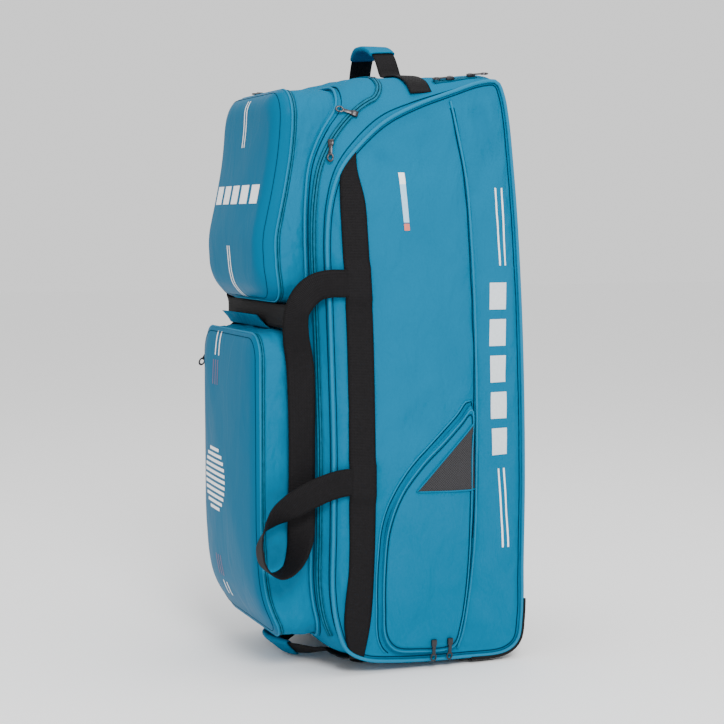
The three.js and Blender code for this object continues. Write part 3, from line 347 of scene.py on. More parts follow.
# shared shapes
def smoothLine(points, steps, closed=False):
    pts = np.array(points, float)
    count = len(pts)
    spans = count if closed else count - 1
    line = []
    for s in range(spans):
        p1, p2 = pts[s], pts[(s + 1) % count]
        p0 = pts[(s - 1) % count] if closed or s > 0 else 2 * p1 - p2
        p3 = pts[(s + 2) % count] if closed or s < count - 2 else 2 * p2 - p1
        d0, d1, d2 = (max(np.linalg.norm(b - a) ** 0.5, 1e-3) for a, b in ((p0, p1), (p1, p2), (p2, p3)))
        m1 = ((p1 - p0) / d0 - (p2 - p0) / (d0 + d1) + (p2 - p1) / d1) * d1
        m2 = ((p2 - p1) / d1 - (p3 - p1) / (d1 + d2) + (p3 - p2) / d2) * d1
        for k in range(steps):
            t = k / steps
            a, b = t * t, t * t * t
            line.append((2 * b - 3 * a + 1) * p1 + (b - 2 * a + t) * m1 + (3 * a - 2 * b) * p2 + (b - a) * m2)
    if not closed:
        line.append(pts[-1])
    return np.array(line)


def evenly(line, gap, closed=False):
    pts = np.vstack([line, line[:1]]) if closed else line
    far = np.concatenate([[0], np.cumsum(np.linalg.norm(np.diff(pts[:, :3], axis=0), axis=1))])
    count = max(2, int(round(far[-1] / gap)))
    at = np.linspace(0, far[-1], count + 1)
    at = at[:-1] if closed else at
    return np.stack([np.interp(at, far, pts[:, i]) for i in range(pts.shape[1])], axis=1)


def unit(v):
    return v / max(np.linalg.norm(v), 1e-9)


def bell(away, width):
    return math.exp(-(away / width) ** 2)


def ripple(a, b, c):
    return noise.noise(Vector((a, b, c)))


def meshPiece(name, points, faces, paint, uvs=None):
    mesh = bpy.data.meshes.new(name)
    placed = (np.array(points, float) + bagShift) / 1000
    mesh.from_pydata(placed.tolist(), [], faces)
    mesh.materials.append(paint)
    if uvs is not None:
        layer = mesh.uv_layers.new(name="band")
        flat = np.array([uvs[v] for face in faces for v in face], dtype=float).ravel()
        layer.data.foreach_set("uv", flat)
    work = bmesh.new()
    work.from_mesh(mesh)
    bmesh.ops.recalc_face_normals(work, faces=work.faces)
    work.to_mesh(mesh)
    work.free()
    mesh.polygons.foreach_set("use_smooth", [True] * len(mesh.polygons))
    mesh.update()
    piece = bpy.data.objects.new(name, mesh)
    bpy.context.collection.objects.link(piece)
    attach(piece, "bag")
    return piece


def gridFaces(rows, columns, closeRows=False, closeColumns=False):
    faces = []
    for r in range(rows if closeRows else rows - 1):
        for c in range(columns if closeColumns else columns - 1):
            a, b = r * columns + c, r * columns + (c + 1) % columns
            d, e = ((r + 1) % rows) * columns + c, ((r + 1) % rows) * columns + (c + 1) % columns
            faces.append((a, b, e, d))
    return faces


def endCaps(rows, ring):
    last = (rows - 1) * ring
    return [tuple(range(ring)), tuple(range(last, last + ring))]


def fanFaces(tip, start, count):
    return [(tip, start + i, start + (i + 1) % count) for i in range(count)]


# Two sheets of the same grid, back to back.
def sheetFaces(rows, columns):
    top = gridFaces(rows, columns)
    return top + [tuple(rows * columns + v for v in reversed(face)) for face in top]


def tubePiece(name, path, radius, paint, closed=False, sides=8, replaced=None):
    line = np.array(path)
    count = len(line)
    points = []
    side = None
    for i in range(count):
        before = line[i - 1] if closed or i > 0 else line[i]
        after = line[(i + 1) % count] if closed or i < count - 1 else line[i]
        along = unit(after - before)
        if side is None:
            side = unit(np.cross(along, [0.3, 0.5, 0.8]))
        side = unit(side - along * side.dot(along))
        other = np.cross(along, side)
        for k in range(sides):
            turn = 2 * math.pi * k / sides
            points.append(line[i] + radius * (math.cos(turn) * side + math.sin(turn) * other))
    faces = gridFaces(count, sides, closed, True) + ([] if closed else endCaps(count, sides))
    piece = meshPiece(name, points, faces, paint)
    if replaced:
        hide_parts(replaced)
    return piece


bandForm = {"columns": 8, "edgeRound": 0.35, "edgePower": 8}


# A flat band with softly rounded edges. across[i] and normals[i] give how it lies at each point.
def bandPiece(name, path, across, normals, width, thickness, paint, replaced, closed=False):
    columns = bandForm["columns"]
    section = []
    for top in (1, -1):
        for k in range(columns + 1) if top > 0 else range(columns, -1, -1):
            s = -1 + 2 * k / columns
            rounded = 1 - bandForm["edgeRound"] * s ** bandForm["edgePower"]
            section.append((s * width / 2, top * thickness / 2 * rounded, k / columns))
    points, uvs = [], []
    far = 0.0
    for i, point in enumerate(path):
        if i:
            far += float(np.linalg.norm(path[i] - path[i - 1]))
        for a, o, u in section:
            points.append(point + across[i] * a + normals[i] * o)
            uvs.append((u, far))
    ring = len(section)
    faces = gridFaces(len(path), ring, closed, True) + ([] if closed else endCaps(len(path), ring))
    piece = meshPiece(name, points, faces, paint, uvs)
    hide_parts(replaced)
    return piece


def framesFrom(path, acrossAt, rolls=None):
    across, normals = [], []
    last = len(path) - 1
    for i in range(len(path)):
        along = unit(path[min(last, i + 1)] - path[max(0, i - 1)])
        side = np.array(acrossAt(i), float)
        side = unit(side - along * side.dot(along))
        if rolls is not None:
            turn = Matrix.Rotation(math.radians(rolls[i]), 3, Vector(along))
            side = np.array(turn @ Vector(side))
        across.append(side)
        normals.append(np.cross(along, side))
    return across, normals


# the bag's own form
bag = {
    "halfWidth": 175.0, "halfDepth": 170.0, "height": 955.0, "frontSwell": 38.0, "swellSharpness": 7.5,
    "sideSwell": 12.0, "rowGap": 8.0, "wrinkle": 1.5,
}
outlineRows = [  # depth share, height share, swell share
    (-0.35, 0.021, 0), (-0.66, 0.029, 0.1), (-0.84, 0.047, 0.35), (-0.94, 0.09, 0.75), (-0.985, 0.147, 0.95),
    (-0.977, 0.25, 1), (-0.972, 0.387, 1), (-0.988, 0.503, 1), (-1.012, 0.628, 1), (-1.035, 0.733, 1),
    (-1.0, 0.798, 1.2), (-0.9, 0.85, 1.65), (-0.71, 0.891, 2.15), (-0.47, 0.928, 2.2), (-0.176, 0.955, 1.5),
    (0.235, 0.982, 0.8), (0.53, 0.999, 0.45), (0.68, 1.0, 0.4), (0.74, 0.98, 0.3), (0.788, 0.94, 0.2),
    (0.835, 0.87, 0.15), (0.888, 0.772, 0.15), (0.941, 0.63, 0.15), (0.976, 0.482, 0.15),
    (0.994, 0.314, 0.15), (0.988, 0.175, 0.08), (0.985, 0.075, 0), (0.945, 0.034, 0), (0.82, 0.018, 0),
    (0.35, 0.016, 0),
]
halfWidth, halfDepth, bagHeight = bag["halfWidth"], bag["halfDepth"], bag["height"]
rough = smoothLine([(d * halfDepth, h * bagHeight, s * bag["frontSwell"]) for d, h, s in outlineRows], 12, True)
outline = evenly(rough, bag["rowGap"], True)
ways = np.roll(outline, -1, 0)[:, :2] - np.roll(outline, 1, 0)[:, :2]
ways /= np.linalg.norm(ways, axis=1)[:, None]
outNormals = np.stack([-ways[:, 1], ways[:, 0]], axis=1)
midZ = bagHeight / 2


def skinAt(x, i, offset=0.0):
    share = 1 - min(1, abs(x) / halfWidth) ** bag["swellSharpness"]
    reach = outline[i, 2] * share + offset
    return np.array([x, outline[i, 0] + outNormals[i, 0] * reach, outline[i, 1] + outNormals[i, 1] * reach])


# The share of the way from a middle to an outline, for outlines that any ray from there meets once.
def starShare(loop, middle):
    angle = np.arctan2(loop[:, 1] - middle[1], loop[:, 0] - middle[0])
    order = np.argsort(angle)
    radius = np.hypot(loop[:, 0] - middle[0], loop[:, 1] - middle[1])[order]
    angle = angle[order]

    def share(a, b):
        turn = math.atan2(b - middle[1], a - middle[0])
        return math.hypot(a - middle[0], b - middle[1]) / np.interp(turn, angle, radius, period=2 * math.pi)
    return share


sideShare = starShare(outline[:, :2], (0.0, midZ))
seamLine = np.array([(0.2, 0.968), (0.26, 0.919), (0.35, 0.836), (0.4, 0.734), (0.435, 0.632), (0.465, 0.46),
                     (0.46, 0.25), (0.44, 0.182), (0.4, 0.112), (0.35, 0.055), (0.3, 0.03)])
seamCurve = smoothLine(seamLine * [halfDepth, bagHeight], 8)
seamOrder = seamCurve[np.argsort(seamCurve[:, 1])]


def seamY(z):
    return np.interp(z, seamOrder[:, 1], seamOrder[:, 0])


# Folds pressed into the side: from (y, z) to (y, z), how wide and how deep in millimetres.
sideFolds = [
    (-120, 851, -89, 831, 9, -1.6), (-89, 831, -60, 812, 10, -1.5), (-12, 862, -12, 822, 12, -1.0),
    (-56, 893, 4, 899, 7, -1.7), (84, 900, 108, 849, 16, -3.4), (108, 849, 80, 788, 18, -2.6),
    (67, 930, 71, 860, 9, 1.8), (96, 935, 114, 850, 8, 1.8), (-60, 812, -20, 780, 16, 1.0),
    (20, 560, 66, 430, 16, -1.6), (-30, 700, 40, 650, 22, -1.4), (-95, 740, -84, 600, 14, -1.0),
    (-60, 420, 0, 470, 20, 1.2), (100, 300, 150, 180, 20, 1.6), (95, 560, 140, 480, 24, -1.4),
    (90, 120, 140, 60, 18, -2.0), (-90, 330, -70, 220, 10, -1.0), (110, 720, 140, 600, 18, 1.4),
    (60, 60, 150, 36, 9, -1.2), (0, 905, 50, 925, 8, 1.2),
]


foldGain = 2.3


def foldDepth(y, z):
    total = 0.0
    for ay, az, by, bz, width, depth in sideFolds:
        dy, dz = by - ay, bz - az
        t = ((y - ay) * dy + (z - az) * dz) / (dy * dy + dz * dz)
        if -0.5 < t < 1.5:
            near = min(1, max(0, t))
            away = math.hypot(y - ay - near * dy, z - az - near * dz)
            if away < 3 * width:
                total += foldGain * depth * bell(away, width)
    return total


sideForm = {"spread": 170, "seamFrom": 28, "seamTo": 925, "noSeam": 60, "seamDip": 1.8, "seamWidth": 16,
            "calm": 14, "pucker": 0.5, "puckers": 90, "puckerMiddle": 12, "puckerWidth": 9, "tuck": 1.7,
            "tuckMiddle": 6, "tuckWidth": 3, "lowEnd": 60, "low": 0.6}
sideSeed = {1: 0.0, -1: 40.0}  # the two sides differ in their waves


def smoothSideX(y, z):
    return halfWidth + bag["sideSwell"] * (1 - min(1, sideShare(y, z)) ** 3)


def sideX(y, z, side=1):
    form, seed = sideForm, sideSeed[side]
    edge = (1 - min(1, sideShare(y, z))) * form["spread"]
    toSeam = abs(y - seamY(z)) if form["seamFrom"] < z < form["seamTo"] else form["noSeam"]
    waves = 2.9 * ripple(y / 62 + seed, z / 120, 3.1) + 1.7 * ripple(y / 24, z / 46, seed)
    sewn = -form["seamDip"] * bell(toSeam, form["seamWidth"])
    turn = math.atan2(z - midZ, y) * form["puckers"] + 2 * ripple(y / 30, z / 30, 9)
    pucker = form["pucker"] * math.sin(turn) * bell(edge - form["puckerMiddle"], form["puckerWidth"])
    tuck = -form["tuck"] * bell(edge - form["tuckMiddle"], form["tuckWidth"])
    low = -form["low"] if z < form["lowEnd"] else 0
    calm = min(1, edge / form["calm"])
    return smoothSideX(y, z) + calm * (waves + foldDepth(y, z) + sewn) + tuck + pucker + low


# How far from the middle each ring of the skin lies: round the wrap, then over each side panel.
stationShares = [1, 0.992, 0.98, 0.965, 0.945, 0.92, 0.9, 0.88, 0.85, 0.82, 0.78, 0.74, 0.69, 0.64, 0.58, 0.52,
                 0.46, 0.4, 0.33, 0.26, 0.19, 0.12, 0.04]
ringShares = [0.992, 0.98, 0.965, 0.945, 0.92, 0.895, 0.87, 0.84, 0.81, 0.78, 0.74, 0.7, 0.66, 0.62, 0.58, 0.54,
              0.5, 0.45, 0.4, 0.35, 0.3, 0.25, 0.2, 0.15, 0.1, 0.05]
wrapForm = {"calm": 12, "wave": 88, "fine": 0.7, "fineShare": 2.6, "hem": 1.3, "hemMiddle": 7, "hemWidth": 3,
            "lid": 160, "lidDip": 1.2, "lidMiddle": 7, "lidWidth": 2.5, "lidFront": -60, "lidBottom": 60,
            "guardFront": 60, "guardTop": 150, "boardFront": 120, "boardTop": 680, "topFrom": 880, "topWave": 2.2}
topDips = [(1.6, -100, 7), (1.2, 12, 6)]  # depth, middle along Y, width


def wrapDent(x, point):
    form = wrapForm
    edge = halfWidth - abs(x)
    p = Vector((point[0] / form["wave"], point[1] / form["wave"], point[2] / form["wave"]))
    waves = bag["wrinkle"] * noise.noise(p) + form["fine"] * noise.noise(p * form["fineShare"])
    underGuard = point[1] > form["guardFront"] and point[2] < form["guardTop"]
    underBoard = point[1] > form["boardFront"] and point[2] < form["boardTop"]
    if underGuard or underBoard:
        waves = -abs(waves)  # here the cloth never stands out
    lidLine = 0.0
    if point[1] < form["lidFront"] and point[2] > form["lidBottom"]:
        lidLine = -form["lidDip"] * bell(abs(abs(x) - form["lid"]) - form["lidMiddle"], form["lidWidth"])
    hem = -form["hem"] * bell(edge - form["hemMiddle"], form["hemWidth"])
    top = 0.0
    if point[2] > form["topFrom"]:
        top = form["topWave"] * ripple(point[0] / 42, point[1] / 70, 7.0)
        top -= sum(depth * bell(point[1] - middle, width) for depth, middle, width in topDips)
    return min(1, edge / form["calm"]) * (waves + top) + lidLine + hem


def addBagSkin():
    shares = [-s for s in stationShares] + list(reversed(stationShares))
    rings = [(-1, s) for s in reversed(ringShares)] + [(0, s) for s in shares] + [(1, s) for s in ringShares]
    count = len(outline)
    points = []
    for side, s in rings:
        for i in range(count):
            if side:
                y, z = outline[i, 0] * s, midZ + (outline[i, 1] - midZ) * s
                points.append(np.array([side * sideX(y, z, side), y, z]))
            else:
                base = skinAt(s * halfWidth, i)
                points.append(base + np.array([0, *outNormals[i]]) * wrapDent(s * halfWidth, base))
    faces = gridFaces(len(rings), count, False, True)
    for side, start in ((-1, 0), (1, (len(rings) - 1) * count)):
        points.append(np.array([side * sideX(0, midZ), 0, midZ]))
        faces += fanFaces(len(points) - 1, start, count)
    piece = meshPiece("bagSkin", points, faces, clothPaint)
    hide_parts("body_shell", "front_lid")


addBagSkin()
print("bag skin made")


# finding the skin: the outline's points that face one way, sorted along an axis
skinLimits = {"top": (0.15, 640), "bottom": (-0.1, 200), "front": (-0.1, -40)}  # normal, place


def skinRows(x, kept, axis):
    rows = [skinAt(x, i) for i in range(len(outline)) if kept(i)]
    return np.array(sorted(rows, key=lambda p: p[axis]))


def topAt(x, y):
    normal, height = skinLimits["top"]
    rows = skinRows(x, lambda i: outNormals[i, 1] > normal and outline[i, 1] > height, 1)
    return np.interp(y, rows[:, 1], rows[:, 2])


def bottomAt(x, y):
    normal, height = skinLimits["bottom"]
    rows = skinRows(x, lambda i: outNormals[i, 1] < normal and outline[i, 1] < height, 1)
    return np.interp(y, rows[:, 1], rows[:, 2])


def frontAt(x, z):
    normal, depth = skinLimits["front"]
    rows = skinRows(x, lambda i: outNormals[i, 0] < normal and outline[i, 0] < depth, 2)
    return np.interp(z, rows[:, 2], rows[:, 1])


slopeStep = 3


def slopes(heightAt, a, b):
    alongA = heightAt(a + slopeStep, b) - heightAt(a - slopeStep, b)
    alongB = heightAt(a, b + slopeStep) - heightAt(a, b - slopeStep)
    return alongA / (2 * slopeStep), alongB / (2 * slopeStep)


def frontSkin(x, z):
    slopeX, slopeZ = slopes(frontAt, x, z)
    return np.array([x, frontAt(x, z), z]), unit(np.array([slopeX, -1, slopeZ]))


def topSkin(x, y):
    slopeX, slopeY = slopes(topAt, x, y)
    return np.array([x, y, topAt(x, y)]), unit(np.array([-slopeX, -slopeY, 1]))


# zips on the body
zips = {"inset": 15.0, "bottom": 60.0, "topDepth": 78.0, "width": 11.0, "thickness": 1.6, "corner": 16.0,
        "cornerSteps": 6, "topSteps": 16, "lift": 1.2, "backInset": 24.0, "backStart": 0.1, "backStep": 0.044,
        "backSteps": 11}


def addZipBand(name, skins, normals, across, node):
    lifted = [p + n * zips["lift"] for (p, _), n in zip(skins, normals)]
    bandPiece(name, lifted, across, normals, zips["width"], zips["thickness"], zipPaint, node)


def addBodyZips():
    edge = halfWidth - zips["inset"]
    front = zips["topDepth"] + zips["corner"]
    half = []
    for i in range(len(outline)):
        point = skinAt(edge, i)
        if point[2] > zips["bottom"] and outline[i, 0] < 0 and point[1] < -front:
            along = skinAt(edge, (i + 1) % len(outline)) - skinAt(edge, i - 1)
            across = skinAt(edge + 2, i) - skinAt(edge - 2, i)
            half.append((point, unit(np.cross(across, along))))
    half.sort(key=lambda item: item[0][2])
    for turn in np.linspace(0, math.pi / 2, zips["cornerSteps"] + 1):
        half.append(topSkin(edge - zips["corner"] * (1 - math.cos(turn)), zips["corner"] * math.sin(turn) - front))
    for x in np.linspace(edge - zips["corner"] - 8, 0, zips["topSteps"]):
        half.append(topSkin(x, -zips["topDepth"]))
    flip = np.array([-1, 1, 1])
    whole = half + [(p * flip, n * flip) for p, n in reversed(half[:-1])]
    normals = [n if n.dot(np.array([0, -1, 0.3])) > 0 or n[2] > 0.3 else -n for _, n in whole]
    across = []
    for i, normal in enumerate(normals):
        along = unit(whole[min(len(whole) - 1, i + 1)][0] - whole[max(0, i - 1)][0])
        across.append(unit(np.cross(normal, along)))
    addZipBand("mainZipBand", whole, normals, across, "main_zip")
    depths = [zips["backStart"] + zips["backStep"] * i for i in range(zips["backSteps"])]
    back = [topSkin(halfWidth - zips["backInset"], halfDepth * depth) for depth in depths]
    normals = [n for _, n in back]
    addZipBand("backZipBand", back, normals, [unit(np.cross(n, np.array([0, 1, 0]))) for n in normals], "back_zip")


addBodyZips()

# pockets on the lid
pockets = {
    "upper": {"bottom": 604.0, "top": 940.0, "corner": 46.0, "depth": 80.0, "relief": 28.0, "crown": 5.0,
              "rows": [(0, 0.8), (0.12, 0.96), (0.3, 1), (0.52, 0.8), (0.68, 0.68), (0.82, 0.62), (1, 0.62)],
              "folds": 3.2, "seamLine": 0.0, "hem": 1.7},
    "lower": {"bottom": 62.0, "top": 554.0, "corner": 38.0, "depth": 105.0, "relief": 9.0, "crown": 7.0,
              "rows": [(0, 0.6), (0.04, 0.72), (0.1, 0.86), (0.18, 0.95), (0.35, 1), (1, 1)],
              "folds": 2.6, "seamLine": 21.0, "hem": 1.5},
}
pocketHalf = 145.0
zipHalf = 3.5
faceShares = [1, 0.997, 0.99, 0.98, 0.965, 0.95, 0.93, 0.91, 0.885, 0.86, 0.835, 0.81, 0.78, 0.74, 0.7, 0.65,
              0.6, 0.54, 0.48, 0.42, 0.36, 0.3, 0.24, 0.18, 0.12, 0.06]
# The thin dark cords placed here beside the piping and inside the face's rim are painted shade.
pocketForm = {"cornerSteps": 12, "gap": 5.0, "blur": 0.03, "rim": 0.2, "dent": 1.1, "gussetSteps": 16,
              "sunk": 5, "bulge": 3.0, "seamPull": 1.2, "wall": 3.5, "fineFold": 0.45, "line": 1.6,
              "backShare": 0.985, "backDepth": 2.5, "zipWidth": 8.0, "zipThickness": 1.8, "piping": 2.4,
              "pipingReach": 3, "pipingLift": 2.2, "shadeReach": 7, "shadeCord": 1.0, "rimShade": 0.6}


def pocketLoop(form):
    radius, bottom, top = form["corner"], form["bottom"], form["top"]
    steps = pocketForm["cornerSteps"]
    loop = []
    corners = [(pocketHalf - radius, bottom + radius, -90), (pocketHalf - radius, top - radius, 0),
               (radius - pocketHalf, top - radius, 90), (radius - pocketHalf, bottom + radius, 180)]
    for x, z, start in corners:
        for i in range(steps + 1):
            turn = math.radians(start + i / steps * 90)
            loop.append((x + radius * math.cos(turn), z + radius * math.sin(turn)))
    return evenly(np.array(loop), pocketForm["gap"], True)


def seamDepth(form, z):
    share = (z - form["bottom"]) / (form["top"] - form["bottom"])
    rows = np.array(form["rows"])
    spread = [np.interp(share + k * pocketForm["blur"], rows[:, 0], rows[:, 1]) for k in (-1.5, -0.5, 0.5, 1.5)]
    return -halfDepth - form["depth"] * sum(spread) / 4


def reliefAt(form, share):
    rim = pocketForm["rim"]
    rise = math.sqrt(max(0, 1 - ((share - 1 + rim) / rim) ** 2)) if share > 1 - rim else 1
    return form["relief"] * rise + form["crown"] * (1 - share * share)


def faceY(form, shareAt, x, z):
    share = min(1, shareAt(x, z))
    dent = pocketForm["dent"] * ripple(x / 90, z / 120, form["depth"]) * min(1, (1 - share) * 8)
    return seamDepth(form, z) - zipHalf - reliefAt(form, share) - dent


# The gusset runs from the zip back to the lid, pulled in at both seams and pillowed between them.
def addPocketSide(key, form, loop, outward):
    steps = pocketForm["gussetSteps"]
    points = []
    for i, (x, z) in enumerate(loop):
        front = seamDepth(form, z) + zipHalf
        back = frontAt(x, z) + pocketForm["sunk"]
        for k in range(steps + 1):
            t = k / steps
            y = front + (back - front) * t
            bulge = pocketForm["bulge"] * math.sin(math.pi * t) - pocketForm["seamPull"]
            waves = ripple(i * 5 / 34 + t * 0.9, t * 2.2, form["depth"])
            waves += pocketForm["fineFold"] * ripple(i * 5 / 13, t * 4, 2.0)
            reach = bulge + form["folds"] * math.sin(math.pi * min(1, t * 1.05)) * waves
            if form["seamLine"]:
                reach -= pocketForm["line"] * bell(y - front + zipHalf - form["seamLine"], 1.6)
            points.append((x + outward[i, 0] * reach, y, z + outward[i, 1] * reach))
        for y in (back, front):
            points.append((x - outward[i, 0] * pocketForm["wall"], y, z - outward[i, 1] * pocketForm["wall"]))
    gusset = meshPiece(f"{key}PocketSide", points, gridFaces(len(loop), steps + 3, True, True), gussetPaint)
    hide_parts(f"{key}_pocket_gusset")


# The face is a moulded sheet with a rounded rim.
def addPocketFace(key, form, loop, shareAt, middle):
    back, count = pocketForm["backShare"], len(loop)
    points = [(x * back, seamDepth(form, z) - zipHalf + pocketForm["backDepth"], middle + (z - middle) * back)
              for x, z in loop]
    for share in faceShares:
        for x, z in loop:
            px, pz = x * share, middle + (z - middle) * share
            points.append((px, seamDepth(form, z) - zipHalf if share == 1 else faceY(form, shareAt, px, pz), pz))
    faces = gridFaces(len(faceShares) + 1, count, False, True)
    points.append((0, faceY(form, shareAt, 0, middle), middle))
    faces += fanFaces(len(points) - 1, len(faceShares) * count, count)
    points.append((0, seamDepth(form, middle) - zipHalf + pocketForm["backDepth"], middle))
    faces += fanFaces(len(points) - 1, 0, count)
    face = meshPiece(f"{key}PocketFace", points, faces, coatedPaint)
    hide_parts(f"{key}_pocket_face")


def addPocketTrim(key, form, loop, outward, shareAt, middle):
    path = [np.array([x * 0.992, seamDepth(form, z), middle + (z - middle) * 0.997]) for x, z in loop]
    bandPiece(f"{key}PocketZip", path, [np.array([0.0, 1.0, 0.0])] * len(loop),
              [np.array([o[0], 0, o[1]]) for o in outward], pocketForm["zipWidth"], pocketForm["zipThickness"],
              zipPaint, f"{key}_pocket_zip", True)
    hem = [(x + o[0] * 0.2, seamDepth(form, z) - zipHalf - 0.6, z + o[1] * 0.2)
           for (x, z), o in zip(loop, outward)]
    tubePiece(f"{key}PocketHem", hem, form["hem"], pipingPaint, True)

    def onLid(reach, lift):
        skins = [frontSkin(x + o[0] * reach, z + o[1] * reach) for (x, z), o in zip(loop, outward)]
        return [point + normal * lift for point, normal in skins]
    cord = onLid(pocketForm["pipingReach"], pocketForm["pipingLift"])
    tubePiece(f"{key}PocketPiping", cord, pocketForm["piping"], pipingPaint, True,
              replaced=f"{key}_pocket_piping")
    # painted shade: a dark cord on the lid just outside the piping, for the shade in that valley
    tubePiece(f"{key}PocketStitch", onLid(pocketForm["shadeReach"], 0), pocketForm["shadeCord"], seamShadePaint, True, 6)
    # painted shade: a dark cord just inside the face's rounded rim, for the shade along its fold
    inset = [(x * 0.955, middle + (z - middle) * 0.97) for x, z in loop]
    rim = [(x, faceY(form, shareAt, x, z) - 0.1, z) for x, z in inset]
    tubePiece(f"{key}PocketRimShade", rim, pocketForm["rimShade"], seamShadePaint, True, 6)


def addPocket(key):
    form = pockets[key]
    loop = pocketLoop(form)
    middle = (form["bottom"] + form["top"]) / 2
    shareAt = starShare(loop, (0.0, middle))
    outward = np.roll(loop, -1, 0) - np.roll(loop, 1, 0)
    outward = np.stack([outward[:, 1], -outward[:, 0]], axis=1)
    outward /= np.linalg.norm(outward, axis=1)[:, None]
    addPocketSide(key, form, loop, outward)
    addPocketFace(key, form, loop, shareAt, middle)
    addPocketTrim(key, form, loop, outward, shareAt, middle)
    return shareAt


upperShare = addPocket("upper")
lowerShare = addPocket("lower")
print("pockets made")

# side panels: piping, seam, webbing
# The dark cords beside the side piping and either side of the side seam are painted shade in their valleys.
sides = {"piping": 3.2, "pipingReach": 2.0, "seam": 2.2, "shadeCord": 0.9, "shadeIn": 4.6, "wrapIn": 3.6,
         "seamShadeGap": 2.9, "sewnRise": 5.2, "sewnReach": 25.0, "sewnFade": 7, "lip": 4.6, "lipOut": 4.8,
         "lipTop": 108, "lipFront": 70, "webbing": 44.0, "webbingLift": 3.0, "webbingBack": 0.4, "columns": 8,
         "backLimit": 168}
strapRoots = (317.0, 634.0)  # heights where the carry straps are sewn in under the band
webbingRows = [  # height share, left edge as a depth share, width share
    (0.03, -0.82, 0.54), (0.09, -0.88, 1), (0.19, -0.84, 0.96), (0.33, -0.84, 1), (0.47, -0.845, 0.98),
    (0.6, -0.865, 0.98), (0.66, -0.885, 0.98), (0.74, -0.905, 0.96), (0.8, -0.92, 0.92), (0.85, -0.9, 0.58),
    (0.88, -0.78, 0.08),
]


def sewnLift(z):
    away = [max(0, abs(z - root) - sides["sewnReach"]) for root in strapRoots]
    return max(sides["sewnRise"] * bell(gap, sides["sewnFade"]) for gap in away)


def addSide(side, suffix):
    reach = sides["pipingReach"]
    path, inner, wrapped = [], [], []
    for i in range(len(outline)):
        point = skinAt(halfWidth, i, reach)
        path.append((side * (halfWidth + reach), point[1], point[2]))
        y, z = outline[i, :2] - outNormals[i] * sides["shadeIn"]
        inner.append((side * (sideX(y, z, side) + 0.2), y, z))
        point = skinAt(halfWidth - sides["wrapIn"], i, 0.1)
        wrapped.append((side * point[0], point[1], point[2]))
    tubePiece(f"sidePiping{suffix}", path, sides["piping"], pipingPaint, True,
              replaced=f"side_piping_{suffix.lower()}")
    # painted shade: dark cords just inside the piping, on the side panel and on the wrap
    tubePiece(f"sidePipingShade{suffix}", inner, sides["shadeCord"], seamShadePaint, True, 6)
    tubePiece(f"wrapPipingShade{suffix}", wrapped, sides["shadeCord"], seamShadePaint, True, 6)
    seam = [(side * (smoothSideX(y, z) + 1.4), y, z) for y, z in evenly(seamCurve, 7)]
    tubePiece(f"sideSeam{suffix}", seam, sides["seam"], pipingPaint, replaced=f"side_seam_{suffix.lower()}")
    # painted shade: dark cords either side of the side seam's piping
    for way, gap in (("Front", -sides["seamShadeGap"]), ("Back", sides["seamShadeGap"])):
        line = [(side * (sideX(y + gap, z, side) + 0.5), y + gap, z) for y, z in evenly(seamCurve[2:-2], 7)]
        tubePiece(f"seam{way}{suffix}", line, sides["shadeCord"], seamShadePaint, sides=6)


def addSideWebbing(side, suffix):
    rows = smoothLine([(h * bagHeight, left * halfDepth, w) for h, left, w in webbingRows], 8)
    rows = evenly(rows, 7)
    points, uvs = [], []
    columns = sides["columns"]
    for z, left, width in rows:
        for top in (1, 0):
            for k in range(columns + 1) if top else range(columns, -1, -1):
                y = min(left + width * sides["webbing"] * k / columns, sides["backLimit"])
                edge = (abs(2 * k / columns - 1)) ** 8
                lift = sides["webbingLift"] - 0.5 * edge if top else sides["webbingBack"]
                lift += sewnLift(z) * (1 - 0.25 * edge)
                points.append((side * (smoothSideX(y, z) + lift), y, z))
                uvs.append((k / columns, z))
    ring = 2 * (columns + 1)
    faces = gridFaces(len(rows), ring, False, True) + endCaps(len(rows), ring)
    band = meshPiece(f"sideWebbing{suffix}", points, faces, webbingPaint, uvs)
    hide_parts(f"side_webbing_{suffix.lower()}")


# The guard's rolled edge stands round the lower back corner of each side panel.
def addGuardLip(side, suffix):
    top, front = sides["lipTop"], sides["lipFront"]
    path = []
    for (y, z, _), (outY, outZ) in zip(outline, outNormals):
        if z < top and y > front:
            path.append((side * (halfWidth + 1.0), y + outY * sides["lipOut"], z + outZ * sides["lipOut"]))
    path.sort(key=lambda point: math.atan2(point[2] - top, point[1] - front) % (2 * math.pi))
    tubePiece(f"guardLip{suffix}", path, sides["lip"], plasticPaint, sides=10)


for side, suffix in ((1, "Near"), (-1, "Far")):
    addSide(side, suffix)
    addSideWebbing(side, suffix)
    addGuardLip(side, suffix)

# zipped side pocket with its mesh corner
sidePocket = {"rim": 7.0, "rise": 15.0, "middle": (-5.1, 191.0), "back": 2, "groove": 1.8, "grooveShare": 0.95,
              "grooveWidth": 0.012, "dent": 1.6, "cornerDrop": 1.2, "netSteps": 26, "netFront": 0.9,
              "netBack": -2.5, "binding": 1.3, "bindingLift": 1.2, "bindingSteps": 23}
